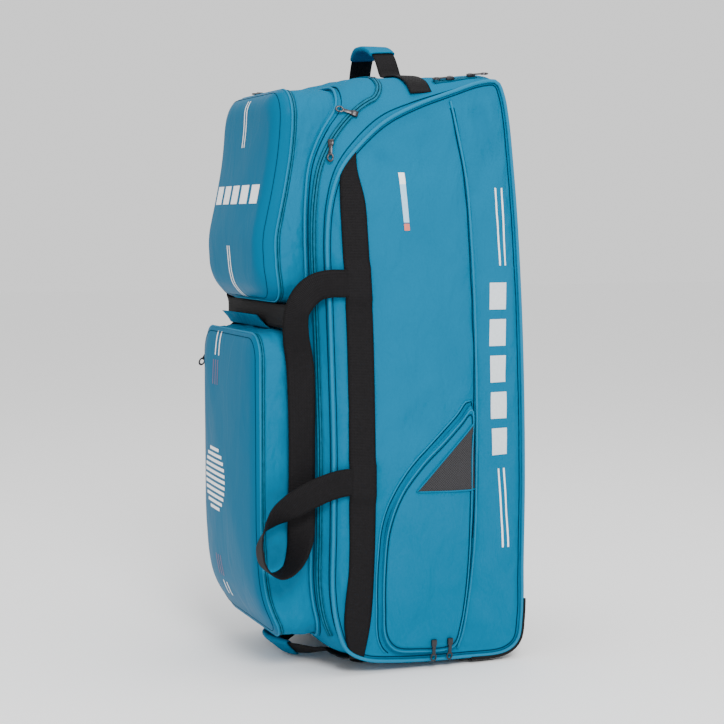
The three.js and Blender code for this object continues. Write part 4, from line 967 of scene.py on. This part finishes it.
# painted shade: the second tube of each pair is a dark cord for the shade beside the band and the seam
sidePocketTubes = (("sidePocketBand", 0.975, 1.7), ("sidePocketStitch", 0.945, 0.8))  # share, radius
sideSeamTubes = (("sidePocketSeam", 9.0, 1.5), ("sidePocketSeamShade", 6.5, 0.8))  # reach, radius
sidePocketShares = [
    1, 0.997, 0.99, 0.982, 0.972, 0.96, 0.945, 0.93, 0.915, 0.9, 0.885, 0.87, 0.85, 0.83, 0.81, 0.79, 0.76, 0.73,
    0.7, 0.66, 0.62, 0.58, 0.54, 0.5, 0.45, 0.4, 0.35, 0.3, 0.25, 0.2, 0.14, 0.07,
]
sidePocketRows = [
    (0.41, 0.452), (0.3, 0.432), (0.12, 0.4), (-0.12, 0.36), (-0.34, 0.31), (-0.47, 0.25), (-0.51, 0.18),
    (-0.51, 0.11), (-0.48, 0.058), (-0.38, 0.036), (-0.1, 0.028), (0.18, 0.027), (0.27, 0.034), (0.33, 0.07),
    (0.375, 0.13), (0.4, 0.2), (0.41, 0.28), (0.415, 0.37),
]
meshCorner = np.array([(-32, 297), (76, 294), (74, 407)], float)


def sidePocketRise(share):
    rim = sidePocket["rim"] * min(1, (1 - share) / 0.03)
    return rim + (sidePocket["rise"] - sidePocket["rim"]) * (1 - share ** 2)


def insideCorner(y, z):
    signs = []
    for i in range(3):
        a, b = meshCorner[i], meshCorner[(i + 1) % 3]
        signs.append((b[0] - a[0]) * (z - a[1]) - (b[1] - a[1]) * (y - a[0]))
    return min(signs) > 0 or max(signs) < 0


def towardsMiddle(y, z, share):
    middle = sidePocket["middle"]
    return middle[0] + (y - middle[0]) * share, middle[1] + (z - middle[1]) * share


def addSidePocketPanel(loop):
    middle, count = sidePocket["middle"], len(loop)
    points = [(smoothSideX(y, z) - sidePocket["back"], y, z) for y, z in loop]
    for share in sidePocketShares:
        groove = -sidePocket["groove"] * bell(share - sidePocket["grooveShare"], sidePocket["grooveWidth"])
        for corner in loop:
            y, z = towardsMiddle(*corner, share)
            dent = sidePocket["dent"] * ripple(y / 46, z / 80, 5.0) * min(1, (1 - share) * 7)
            if insideCorner(y, z):
                dent -= sidePocket["cornerDrop"]
            points.append((smoothSideX(y, z) + sidePocketRise(share) + groove + dent, y, z))
    faces = gridFaces(len(sidePocketShares) + 1, count, False, True)
    points.append((smoothSideX(*middle) + sidePocket["rise"], *middle))
    faces += fanFaces(len(points) - 1, len(sidePocketShares) * count, count)
    points.append((smoothSideX(*middle) - sidePocket["back"], *middle))
    faces += fanFaces(len(points) - 1, 0, count)
    pocket = meshPiece("sidePocket", points, faces, clothPaint)
    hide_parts("side_pocket_panel")


# The mesh corner is its own small net just over the pocket's cloth, with a bound edge.
def addSidePocketNet(pocketX):
    steps = sidePocket["netSteps"]
    points = []
    for lift in (sidePocket["netFront"], sidePocket["netBack"]):
        for r in range(steps + 1):
            for c in range(steps + 1):
                s, t = c / steps, r / steps
                base = meshCorner[0] * (1 - s) + meshCorner[1] * s
                top = meshCorner[0] * (1 - s) + meshCorner[2] * s
                y, z = base * (1 - t) + top * t
                points.append((pocketX(y, z) + lift, y, z))
    net = meshPiece("sidePocketNet", points, sheetFaces(steps + 1, steps + 1), meshPaint)
    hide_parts("side_pocket_mesh")
    edge = []
    for a, b in ((meshCorner[1], meshCorner[0]), (meshCorner[0], meshCorner[2])):
        for t in np.linspace(0, 1, sidePocket["bindingSteps"] + 1)[:-1]:
            edge.append(a * (1 - t) + b * t)
    edge.append(meshCorner[2])
    tubePiece("netBinding", [(pocketX(y, z) + sidePocket["bindingLift"], y, z) for y, z in edge],
              sidePocket["binding"], clothPaint)


def addSidePocket():
    loop = smoothLine([(d * halfDepth, h * bagHeight) for d, h in sidePocketRows], 10, True)
    loop = evenly(loop, 4.0, True)
    middle = sidePocket["middle"]
    shareAt = starShare(loop, middle)
    addSidePocketPanel(loop)
    addSidePocketNet(lambda y, z: smoothSideX(y, z) + sidePocketRise(min(1, shareAt(y, z))))
    for (name, share, radius), paint in zip(sidePocketTubes, (pipingPaint, seamShadePaint)):
        ring = [towardsMiddle(y, z, share) for y, z in loop]
        tubePiece(name, [(smoothSideX(y, z) + sidePocketRise(share) + 0.2, y, z) for y, z in ring], radius, paint,
                  True)
    for (name, reach, radius), paint in zip(sideSeamTubes, (pipingPaint, seamShadePaint)):
        ring = []
        for i in range(len(loop)):
            along = unit(loop[(i + 1) % len(loop)] - loop[i - 1])
            y, z = loop[i, 0] + along[1] * reach, loop[i, 1] - along[0] * reach
            if y < seamY(z) - 2 and z > 30 and (z > 200 or y < 40):
                ring.append((sideX(y, z) + 0.6, y, z))
        ring.sort(key=lambda point: math.atan2(point[2] - middle[1], point[1] - middle[0]) % (2 * math.pi))
        tubePiece(name, ring, radius, paint)


addSidePocket()

# straps and grab handles
straps = {"reach": 146.0, "span": 317.0, "standOff": 12.0, "width": 44.0, "thickness": 2.6, "grab": 38.0,
          "farReach": 138.0, "runGap": 10.0, "rootShare": 0.86, "topShare": 0.664, "strapHeight": 579.0,
          "gripForward": 0.59, "gripHeight": 0.006}
nearRows = [  # forward share, height share, outward share, roll
    (-0.1, 1.0, 1.0, 0), (0.06, 1.0, 1.0, 0), (0.2, 1.0, 0.9, 0), (0.34, 0.985, 0.5, 8), (0.46, 0.94, 0, 28),
    (0.545, 0.86, -0.5, 48), (0.55, 0.74, -0.7, 40), (0.5, 0.6, -0.9, 26), (0.475, 0.42, -1.1, 8),
    (0.47, 0.22, -1.2, 0), (0.47, 0, -1.3, 0), (0.475, -0.18, -1.25, 12), (0.52, -0.32, -0.6, 50),
    (0.64, -0.42, 0.1, 80), (0.8, -0.45, 0.3, 88), (0.95, -0.4, 0.4, 90), (1.0, -0.31, 0.5, 86),
    (0.95, -0.22, 0.6, 68), (0.82, -0.15, 0.6, 36), (0.64, -0.1, 0.9, 6), (0.46, -0.055, 1.1, 0),
    (0.26, -0.02, 1.1, 0), (0.06, 0, 1.0, 0), (-0.1, 0, 1.0, 0),
]
farRows = [  # share across, forward share, height share, run (0 the near one, 1 the far one), lean
    (-1.0, -0.1, 0.17, 0, 0), (-1.012, 0.06, 0.16, 0, 0), (-1.03, 0.25, 0.13, 0, 0), (-1.06, 0.43, 0.08, 0, 0),
    (-1.02, 0.55, 0.02, 0, 0), (-0.92, 0.59, 0.006, 0, 0), (-0.8, 0.59, 0.006, 0, 0), (0.3, 0.59, 0.006, 0, 0),
    (0.8, 0.59, 0.006, 0, 0), (0.96, 0.59, 0.006, 0.1, 0), (1.0, 0.59, 0.006, 0.5, 0),
    (0.96, 0.59, 0.006, 0.9, 0), (0.8, 0.59, 0.006, 1, 0), (0.3, 0.59, 0.006, 1, 0), (-0.72, 0.59, 0.006, 1, 0),
    (-0.84, 0.59, 0, 1, 0), (-0.94, 0.56, -0.05, 1, 12), (-0.98, 0.52, -0.17, 1, 50),
    (-0.985, 0.5, -0.38, 1, 88), (-1.005, 0.45, -0.6, 1, 80), (-1.03, 0.28, -0.74, 0.5, 45),
    (-1.012, 0.08, -0.81, 0, 5), (-1.0, -0.1, -0.82, 0, 0),
]


def sewnX(height):
    y = -straps["rootShare"] * halfDepth + straps["width"] / 2
    return smoothSideX(y, height) + 0.2 + straps["thickness"] * 1.5


def rolled(rows, points, column, steps):
    line = smoothLine(points, steps)
    spans = len(points) - 1
    rolls = [np.interp(i / steps, range(spans + 1), [row[column] for row in rows]) for i in range(len(line))]
    return line, rolls


def addCarryHandles():
    upper = straps["topShare"] * bagHeight
    lower = upper - straps["span"]
    points = []
    for forward, height, out, _ in nearRows:
        x = sewnX(lower) + (sewnX(upper) - sewnX(lower)) * height + (out - 1) * straps["standOff"]
        points.append((x, -straps["rootShare"] * halfDepth - forward * straps["reach"],
                       lower + height * straps["span"]))
    line, rolls = rolled(nearRows, points, 3, 6)
    normals, across = framesFrom(line, lambda i: (1, 0, 0), rolls)
    band = bandPiece("carryHandleNear", line, across, normals, straps["width"], straps["thickness"], webbingPaint,
                     "carry_handle_near")
    points = []
    for x, forward, height, run, _ in farRows:
        z = straps["strapHeight"] + height * straps["span"]
        onSide = min(1, max(0, (0.5 - forward) * 3))
        outside = halfWidth + (sewnX(z) - halfWidth) * onSide
        y = -straps["rootShare"] * halfDepth - forward * straps["reach"] + run * straps["runGap"]
        points.append((x * outside if x < 0 else x * straps["farReach"], y, z))
    line, leans = rolled(farRows, points, 4, 6)
    turns = [math.radians(a) for a in leans]
    across, normals = framesFrom(line, lambda i: (0, math.sin(turns[i]), math.cos(turns[i])))
    band = bandPiece("carryHandleFar", line, across, normals, straps["grab"], straps["thickness"], webbingPaint,
                     "carry_handle_far")


addCarryHandles()

wrap = {"from": -139.0, "to": 25.0, "height": 19.0, "wall": 2.5, "gap": 0.6, "round": 3.0, "lean": 15.0,
        "slant": 26.0, "steps": 40, "arcSteps": 14, "flare": 1.4, "wave": 0.9}


def wrapSection(middleY, floor, top):
    spread = straps["runGap"] / 2 + straps["thickness"] / 2 + wrap["gap"]

    def trough(half, bottom):
        arc = [(middleY - half, top)]
        for turn in np.linspace(math.pi, 2 * math.pi, wrap["arcSteps"] + 1):
            arc.append((middleY + half * math.cos(turn), bottom + wrap["round"] * (1 + math.sin(turn))))
        return evenly(np.array(arc + [(middleY + half, top)]), 2.0)
    return np.vstack([trough(spread + wrap["wall"], floor - wrap["wall"]), trough(spread, floor)[::-1]])


def addGripWrap():
    middleY = -straps["rootShare"] * halfDepth - straps["gripForward"] * straps["reach"] + straps["runGap"] / 2
    middleZ = straps["strapHeight"] + straps["gripHeight"] * straps["span"]
    floor = middleZ - straps["grab"] / 2 - wrap["gap"] - wrap["round"] * 0.6
    top = floor + wrap["height"]
    section = wrapSection(middleY, floor, top)
    points = []
    for x in np.linspace(wrap["from"], wrap["to"], wrap["steps"]):
        flare = wrap["flare"] * math.exp(-min(x - wrap["from"], wrap["to"] - x) / 5)
        share = (x - wrap["from"]) / (wrap["to"] - wrap["from"])
        for y, z in section:
            wave = wrap["wave"] * ripple(x / 22, y / 9, z / 16)
            up = max(0, (z - floor) / (top - floor))
            out = wrap["lean"] * up ** 1.3 * (1 - 0.45 * share) if y < middleY else 0
            along = x + wrap["slant"] * (1 - up) * share if y < middleY else x
            points.append((along, y + (y - middleY) / 12 * (flare + wave) - out, z - 0.4 * abs(wave)))
    faces = gridFaces(wrap["steps"], len(section), False, True) + endCaps(wrap["steps"], len(section))
    piece = meshPiece("gripWrap", points, faces, gussetPaint)
    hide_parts("grip_wrap")


addGripWrap()

grabs = {"topSpan": 130.0, "topRise": 52.0, "bottomSpan": 190.0, "bottomReach": 78.0, "bottomHeight": 21.0,
         "bottomRoot": 0.75, "wall": 2.4, "gap": 1.0, "sleeve": 88.0, "sleeveSides": 24, "puff": 0.05, "wave": 0.5}
topArch = [(1.04, 0.1), (0.93, 0.34), (0.72, 0.72), (0.4, 0.95), (0, 1)]  # span share, rise share
bottomArch = [  # span share, reach share, lean
    (1.0, 0.12, 0), (0.82, 0.36, 10), (0.55, 0.7, 28), (0.28, 0.93, 38), (0, 1, 40),
]


def sleevePiece(name, path, across, normals, replaced):
    half = grabs["sleeve"] / 2
    keep = [i for i in range(len(path)) if abs(path[i][0]) < half]
    wide = straps["grab"] / 2 + grabs["wall"] + grabs["gap"]
    thick = straps["thickness"] / 2 + grabs["wall"] + grabs["gap"]
    section = []
    for k in range(grabs["sleeveSides"]):
        turn = 2 * math.pi * k / grabs["sleeveSides"]
        c, s = math.cos(turn), math.sin(turn)
        section.append((wide * np.sign(c) * abs(c) ** 0.35, thick * np.sign(s) * abs(s) ** 0.6))
    inner = [(a * (wide - grabs["wall"]) / wide, o * (thick - grabs["wall"]) / thick) for a, o in section]
    points = []
    for ring, order in ((section, keep), (inner, keep[::-1])):
        for i in order:
            end = min(abs(path[i][0] - half), abs(path[i][0] + half))
            puff = 1 + grabs["puff"] * (1 - math.exp(-end / 12))
            for a, o in ring:
                wave = grabs["wave"] * ripple(path[i][0] / 14, a / 10, o)
                points.append(path[i] + across[i] * a * puff + normals[i] * (o * puff + wave))
    piece = meshPiece(name, points, gridFaces(2 * len(keep), len(section), True, True), gussetPaint)
    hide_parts(replaced)


def mirrored(points):
    return list(points) + [(-x, y, z) for x, y, z in reversed(points[:-1])]


def addGrabHandle(name, line, hint):
    across, normals = framesFrom(line, hint)
    band = bandPiece(f"{name}HandleWebbing", line, across, normals, straps["grab"], straps["thickness"],
                     webbingPaint, f"{name}_handle_webbing")
    sleevePiece(f"{name}HandleSleeve", line, across, normals, f"{name}_handle_sleeve")


def addTopHandle():
    def depthAt(x):
        return -0.2 * halfDepth + 0.13 * halfDepth * abs(x) / halfWidth
    lift = 0.8 + straps["thickness"] / 2
    foot = grabs["topSpan"] / 2
    flat = []
    for share in (0.955, 0.86, 0.7, 0.54):
        x = share * (halfWidth - foot) + foot * share
        flat.append((x, depthAt(x), topAt(x, depthAt(x)) + lift + 0.8))
    start = topAt(foot, depthAt(foot))
    arch = [(x * foot, depthAt(x * foot), start + lift + rise * grabs["topRise"]) for x, rise in topArch]
    toe = (foot * 1.2, depthAt(foot), topAt(foot * 1.2, depthAt(foot)) + lift)
    addGrabHandle("top", smoothLine(mirrored(flat + [toe] + arch), 6), lambda i: (0, 1, 0))


def addBottomHandle():
    rootY = -grabs["bottomRoot"] * halfDepth
    foot, low = grabs["bottomSpan"] / 2, grabs["bottomHeight"]
    flat = []
    for share in (0.955, 0.8, 0.66):
        x = share * halfWidth
        flat.append((x, rootY, bottomAt(x, rootY) - 0.4 - straps["thickness"] / 2 - 1.2))
    arch = [(x * foot, rootY - out * grabs["bottomReach"], low + (flat[0][2] - low) * max(0, 1 - out * 2))
            for x, out, _ in bottomArch]
    leans = [0] * len(flat) + [lean for _, _, lean in bottomArch]
    line, leans = rolled([(lean,) for lean in leans + leans[-2::-1]], mirrored(flat + arch), 0, 8)
    turns = [math.radians(lean) for lean in leans]
    addGrabHandle("bottom", line, lambda i: (0, -math.cos(turns[i]), math.sin(turns[i])))


addTopHandle()
addBottomHandle()
print("straps and handles made")

# plain prints, in place of any mark
prints = {"lift": 0.35, "back": -0.8, "sideHalf": 1.6, "sideBlock": (30.0, 44.0), "sideBlocks": 5,
          "sideBlockSpan": (340, 640), "upperHalf": 2, "upperBlock": 17, "upperBlockSpan": (760, 790),
          "upperBlocks": 5, "upperPitch": 46,
          "lowerHalf": 2.4, "tickHalf": 1.4, "discBars": 11, "discLow": 246, "discPitch": 10, "discBar": 5.5,
          "discMiddle": (-57, 296), "discReach": (62, 56)}
sideStripes = [("A", 121, 113, 660, 786), ("B", 132, 126, 660, 786), ("C", 130, 122, 193, 325),
               ("D", 140, 133, 193, 325)]
upperStripeSpans = ((852, 928), (608, 692))
stripeXs, tickXs = (-61, -42), (-70, -58, -46)
lowerMarks = [  # name, heights of the stripes, heights of the ticks
    ("lower", (508, 548), (458, 500)), ("foot", (98, 122), (132, 168)),
]


def patch(name, corners, surface, paint, steps=(2, 24)):
    rows, columns = steps
    points = []
    for lift in (prints["lift"], prints["back"]):
        for r in range(columns + 1):
            for c in range(rows + 1):
                s, t = c / rows, r / columns
                low = np.array(corners[0]) * (1 - s) + np.array(corners[1]) * s
                high = np.array(corners[3]) * (1 - s) + np.array(corners[2]) * s
                a, b = low * (1 - t) + high * t
                points.append(surface(a, b, lift))
    return meshPiece(name, points, sheetFaces(columns + 1, rows + 1), paint)


def block(name, middle, half, low, high, surface, paint, steps=(2, 24)):
    left, right = middle - half, middle + half
    patch(name, [(left, low), (right, low), (right, high), (left, high)], surface, paint, steps)


def onSide(y, z, lift):
    return (sideX(y, z) + lift, y, z)


def onFace(key, shareAt):
    return lambda x, z, lift: (x, faceY(pockets[key], shareAt, x, z) - lift, z)


def addPrints():
    half = prints["sideHalf"]
    for name, y0, y1, z0, z1 in sideStripes:
        patch(f"sideStripe{name}", [(y0 - half, z0), (y0 + half, z0), (y1 + half, z1), (y1 - half, z1)], onSide,
              printPaint)
    width, height = prints["sideBlock"]
    low, high = prints["sideBlockSpan"]
    for i in range(prints["sideBlocks"]):
        z = low + (high - low) / prints["sideBlocks"] * (i + 0.5)
        block(f"sideBlock{i}", 124 - (z - low) * 0.02, width / 2, z - height / 2, z + height / 2, onSide,
              greyPrintPaint, (6, 8))
    face = onFace("upper", upperShare)
    for i, span in enumerate(upperStripeSpans):
        for name, x in (("a", -6), ("b", 5)):
            block(f"upperStripe{i}{name}", x, prints["upperHalf"], *span, face, printPaint)
    for i in range(prints["upperBlocks"]):
        x = (i - 2) * prints["upperPitch"]
        block(f"upperBlock{i}", x, prints["upperBlock"], *prints["upperBlockSpan"], face, printPaint, (6, 6))
    face = onFace("lower", lowerShare)
    for name, stripes, ticks in lowerMarks:
        for i, x in enumerate(stripeXs):
            block(f"{name}Stripe{i}", x, prints["lowerHalf"], *stripes, face, printPaint)
        for i, x in enumerate(tickXs):
            block(f"{name}Tick{i}", x, prints["tickHalf"], *ticks, face, redPrintPaint)
    middleX, middleZ = prints["discMiddle"]
    across, up = prints["discReach"]
    for i in range(prints["discBars"]):
        z = prints["discLow"] + i * prints["discPitch"]
        reach = across * math.sqrt(max(0.02, 1 - ((z - middleZ) / up) ** 2))
        block(f"lowerBar{i}", middleX, reach, z, z + prints["discBar"], face, printPaint, (24, 1))


addPrints()

label = {"top": 0.847, "y": -58.6, "slant": 10.2, "width": 10, "length": 92, "lift": 0.3}
labelSpans = [("labelTop", 0, 0.2, printPaint), ("labelLength", 0.2, 0.86, labelPaint),
              ("labelFoot", 0.88, 1.0, redLabelPaint)]


def onLabel(y, z, lift):
    return (sideX(y, z) + lift + label["lift"], y, z)


def addLabel():
    top, width = label["top"] * bagHeight, label["width"]
    for name, a, b, paint in labelSpans:
        y0, y1 = label["y"] + b * label["slant"], label["y"] + a * label["slant"]
        z0, z1 = top - b * label["length"], top - a * label["length"]
        corners = [(y0, z0), (y0 + width, z0), (y1 + width, z1), (y1, z1)]
        patch(name, corners, onLabel, paint, (3, 14))
    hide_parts("side_label")


addLabel()
print("prints made")

# zip pulls: which way each one points, and which way is up from it
pulls = {
    "main_zip_pull_lower": ((0, 0, -1), (0, -1, 0.2)), "main_zip_pull_upper": ((-1, -0.6, 0), (0.2, -0.4, 1)),
    "main_zip_pull_top": ((1, 0, 0), (0, 0, 1)), "back_zip_pull_front": ((0, -1, 0), (0, 0, 1)),
    "back_zip_pull_rear": ((0, 1, 0), (0, 0, 1)), "upper_pocket_pull": ((-1, 0, 0), (0, 0, 1)),
    "lower_pocket_pull_upper": ((0, -0.6, -1), (-1, 0, 0)), "lower_pocket_pull_lower": ((0, 0.6, -1), (-1, 0, 0)),
    "side_pocket_pull_front": ((0, 0, -1), (1, 0, 0)), "side_pocket_pull_rear": ((0, 0, -1), (1, 0, 0)),
}
pullShape = {"slider": (0.013, 0.009, 0.004), "sliderEdge": 0.0006, "noseTaper": 0.62, "bridge": 0.25,
             "tag": (0.019, 0.0056, 0.0018), "tagPlace": (0.0105, 0, 0.0036), "tagEdge": 0.0005,
             "ringPlace": (0.0235, 0, 0.0034), "ring": 0.0043, "wire": 0.0014, "ringScale": (1.35, 1, 0.9),
             "start": 0.006, "smoothAngle": 40}


def newBlock(size, place):
    deselectAll()
    bpy.ops.mesh.primitive_cube_add(size=1, location=place)
    piece = bpy.context.object
    piece.scale = size
    bpy.ops.object.transform_apply(location=True, rotation=True, scale=True)
    return piece


def softenEdges(piece, width):
    bevel = piece.modifiers.new("softEdges", "BEVEL")
    bevel.width = width
    bevel.segments = 2
    bpy.context.view_layer.objects.active = piece
    piece.select_set(True)
    bpy.ops.object.modifier_apply(modifier="softEdges")


def buildPull():
    long, _, high = pullShape["slider"]
    slider = newBlock(pullShape["slider"], (0, 0, high / 2))
    bpy.ops.object.mode_set(mode="EDIT")
    bpy.ops.mesh.select_all(action="SELECT")
    bpy.ops.mesh.subdivide(number_cuts=2)
    bpy.ops.mesh.select_all(action="DESELECT")
    bpy.ops.object.mode_set(mode="OBJECT")
    for vertex in slider.data.vertices:
        if vertex.co.x > long * 0.3:
            vertex.co.y *= pullShape["noseTaper"]
        if vertex.co.z > high * 0.9 and abs(vertex.co.x) < long * 0.3:
            vertex.co.z += high * pullShape["bridge"]
    softenEdges(slider, pullShape["sliderEdge"])
    deselectAll()
    bpy.ops.mesh.primitive_torus_add(location=pullShape["ringPlace"], major_radius=pullShape["ring"],
                                     minor_radius=pullShape["wire"], major_segments=22, minor_segments=8)
    ring = bpy.context.object
    ring.scale = pullShape["ringScale"]
    bpy.ops.object.transform_apply(location=True, rotation=True, scale=True)
    tag = newBlock(pullShape["tag"], pullShape["tagPlace"])
    softenEdges(tag, pullShape["tagEdge"])
    deselectAll()
    for part in (slider, ring, tag):
        part.select_set(True)
    bpy.context.view_layer.objects.active = slider
    bpy.ops.object.join()
    slider.name = "pullPattern"
    return slider


# Where a pull of the frame lies: its own long, cross and upward axes and its low end.
def pullPlace(node, alongHint, upHint):
    corners = np.array([v.co[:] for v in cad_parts[node].data.vertices])
    corners = np.unique(np.round(corners, 6), axis=0)
    middle = corners.mean(axis=0)
    _, _, axes = np.linalg.svd(corners - middle)
    along = axes[0] if axes[0].dot(alongHint) >= 0 else -axes[0]
    up = axes[2] if axes[2].dot(upHint) >= 0 else -axes[2]
    across = np.cross(up, along)
    reach = (corners - middle) @ np.array([along, across, up]).T
    low, high = reach.min(axis=0), reach.max(axis=0)
    origin = middle + along * (low[0] + pullShape["start"]) + up * low[2] + across * (high[1] + low[1]) / 2
    return Matrix((*[(along[k], across[k], up[k], origin[k]) for k in range(3)], (0, 0, 0, 1)))


def addPulls():
    pattern = buildPull()
    for node, hints in pulls.items():
        mesh = pattern.data.copy()
        mesh.transform(pullPlace(node, *hints))
        mesh.materials.clear()
        mesh.materials.append(metalPaint)
        piece = bpy.data.objects.new("pull_" + node, mesh)
        bpy.context.collection.objects.link(piece)
        deselectAll()
        piece.select_set(True)
        bpy.context.view_layer.objects.active = piece
        bpy.ops.object.shade_smooth_by_angle(angle=math.radians(pullShape["smoothAngle"]))
        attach(piece, "bag")
        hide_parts(node)
    bpy.data.objects.remove(pattern)


addPulls()
print("pulls made")

# hard pieces kept from the frame
keptPaints = {
    plasticPaint: ("wheel_guard", "back_board", "base_foot_left", "base_foot_right"),
    rubberPaint: ("wheel_left", "wheel_right"),
    steelPaint: ("wheel_axle_left", "wheel_axle_right"),
}
for paint, nodes in keptPaints.items():
    for node in nodes:
        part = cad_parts[node]
        part.data.materials.clear()
        part.data.materials.append(paint)
print("hard pieces painted")
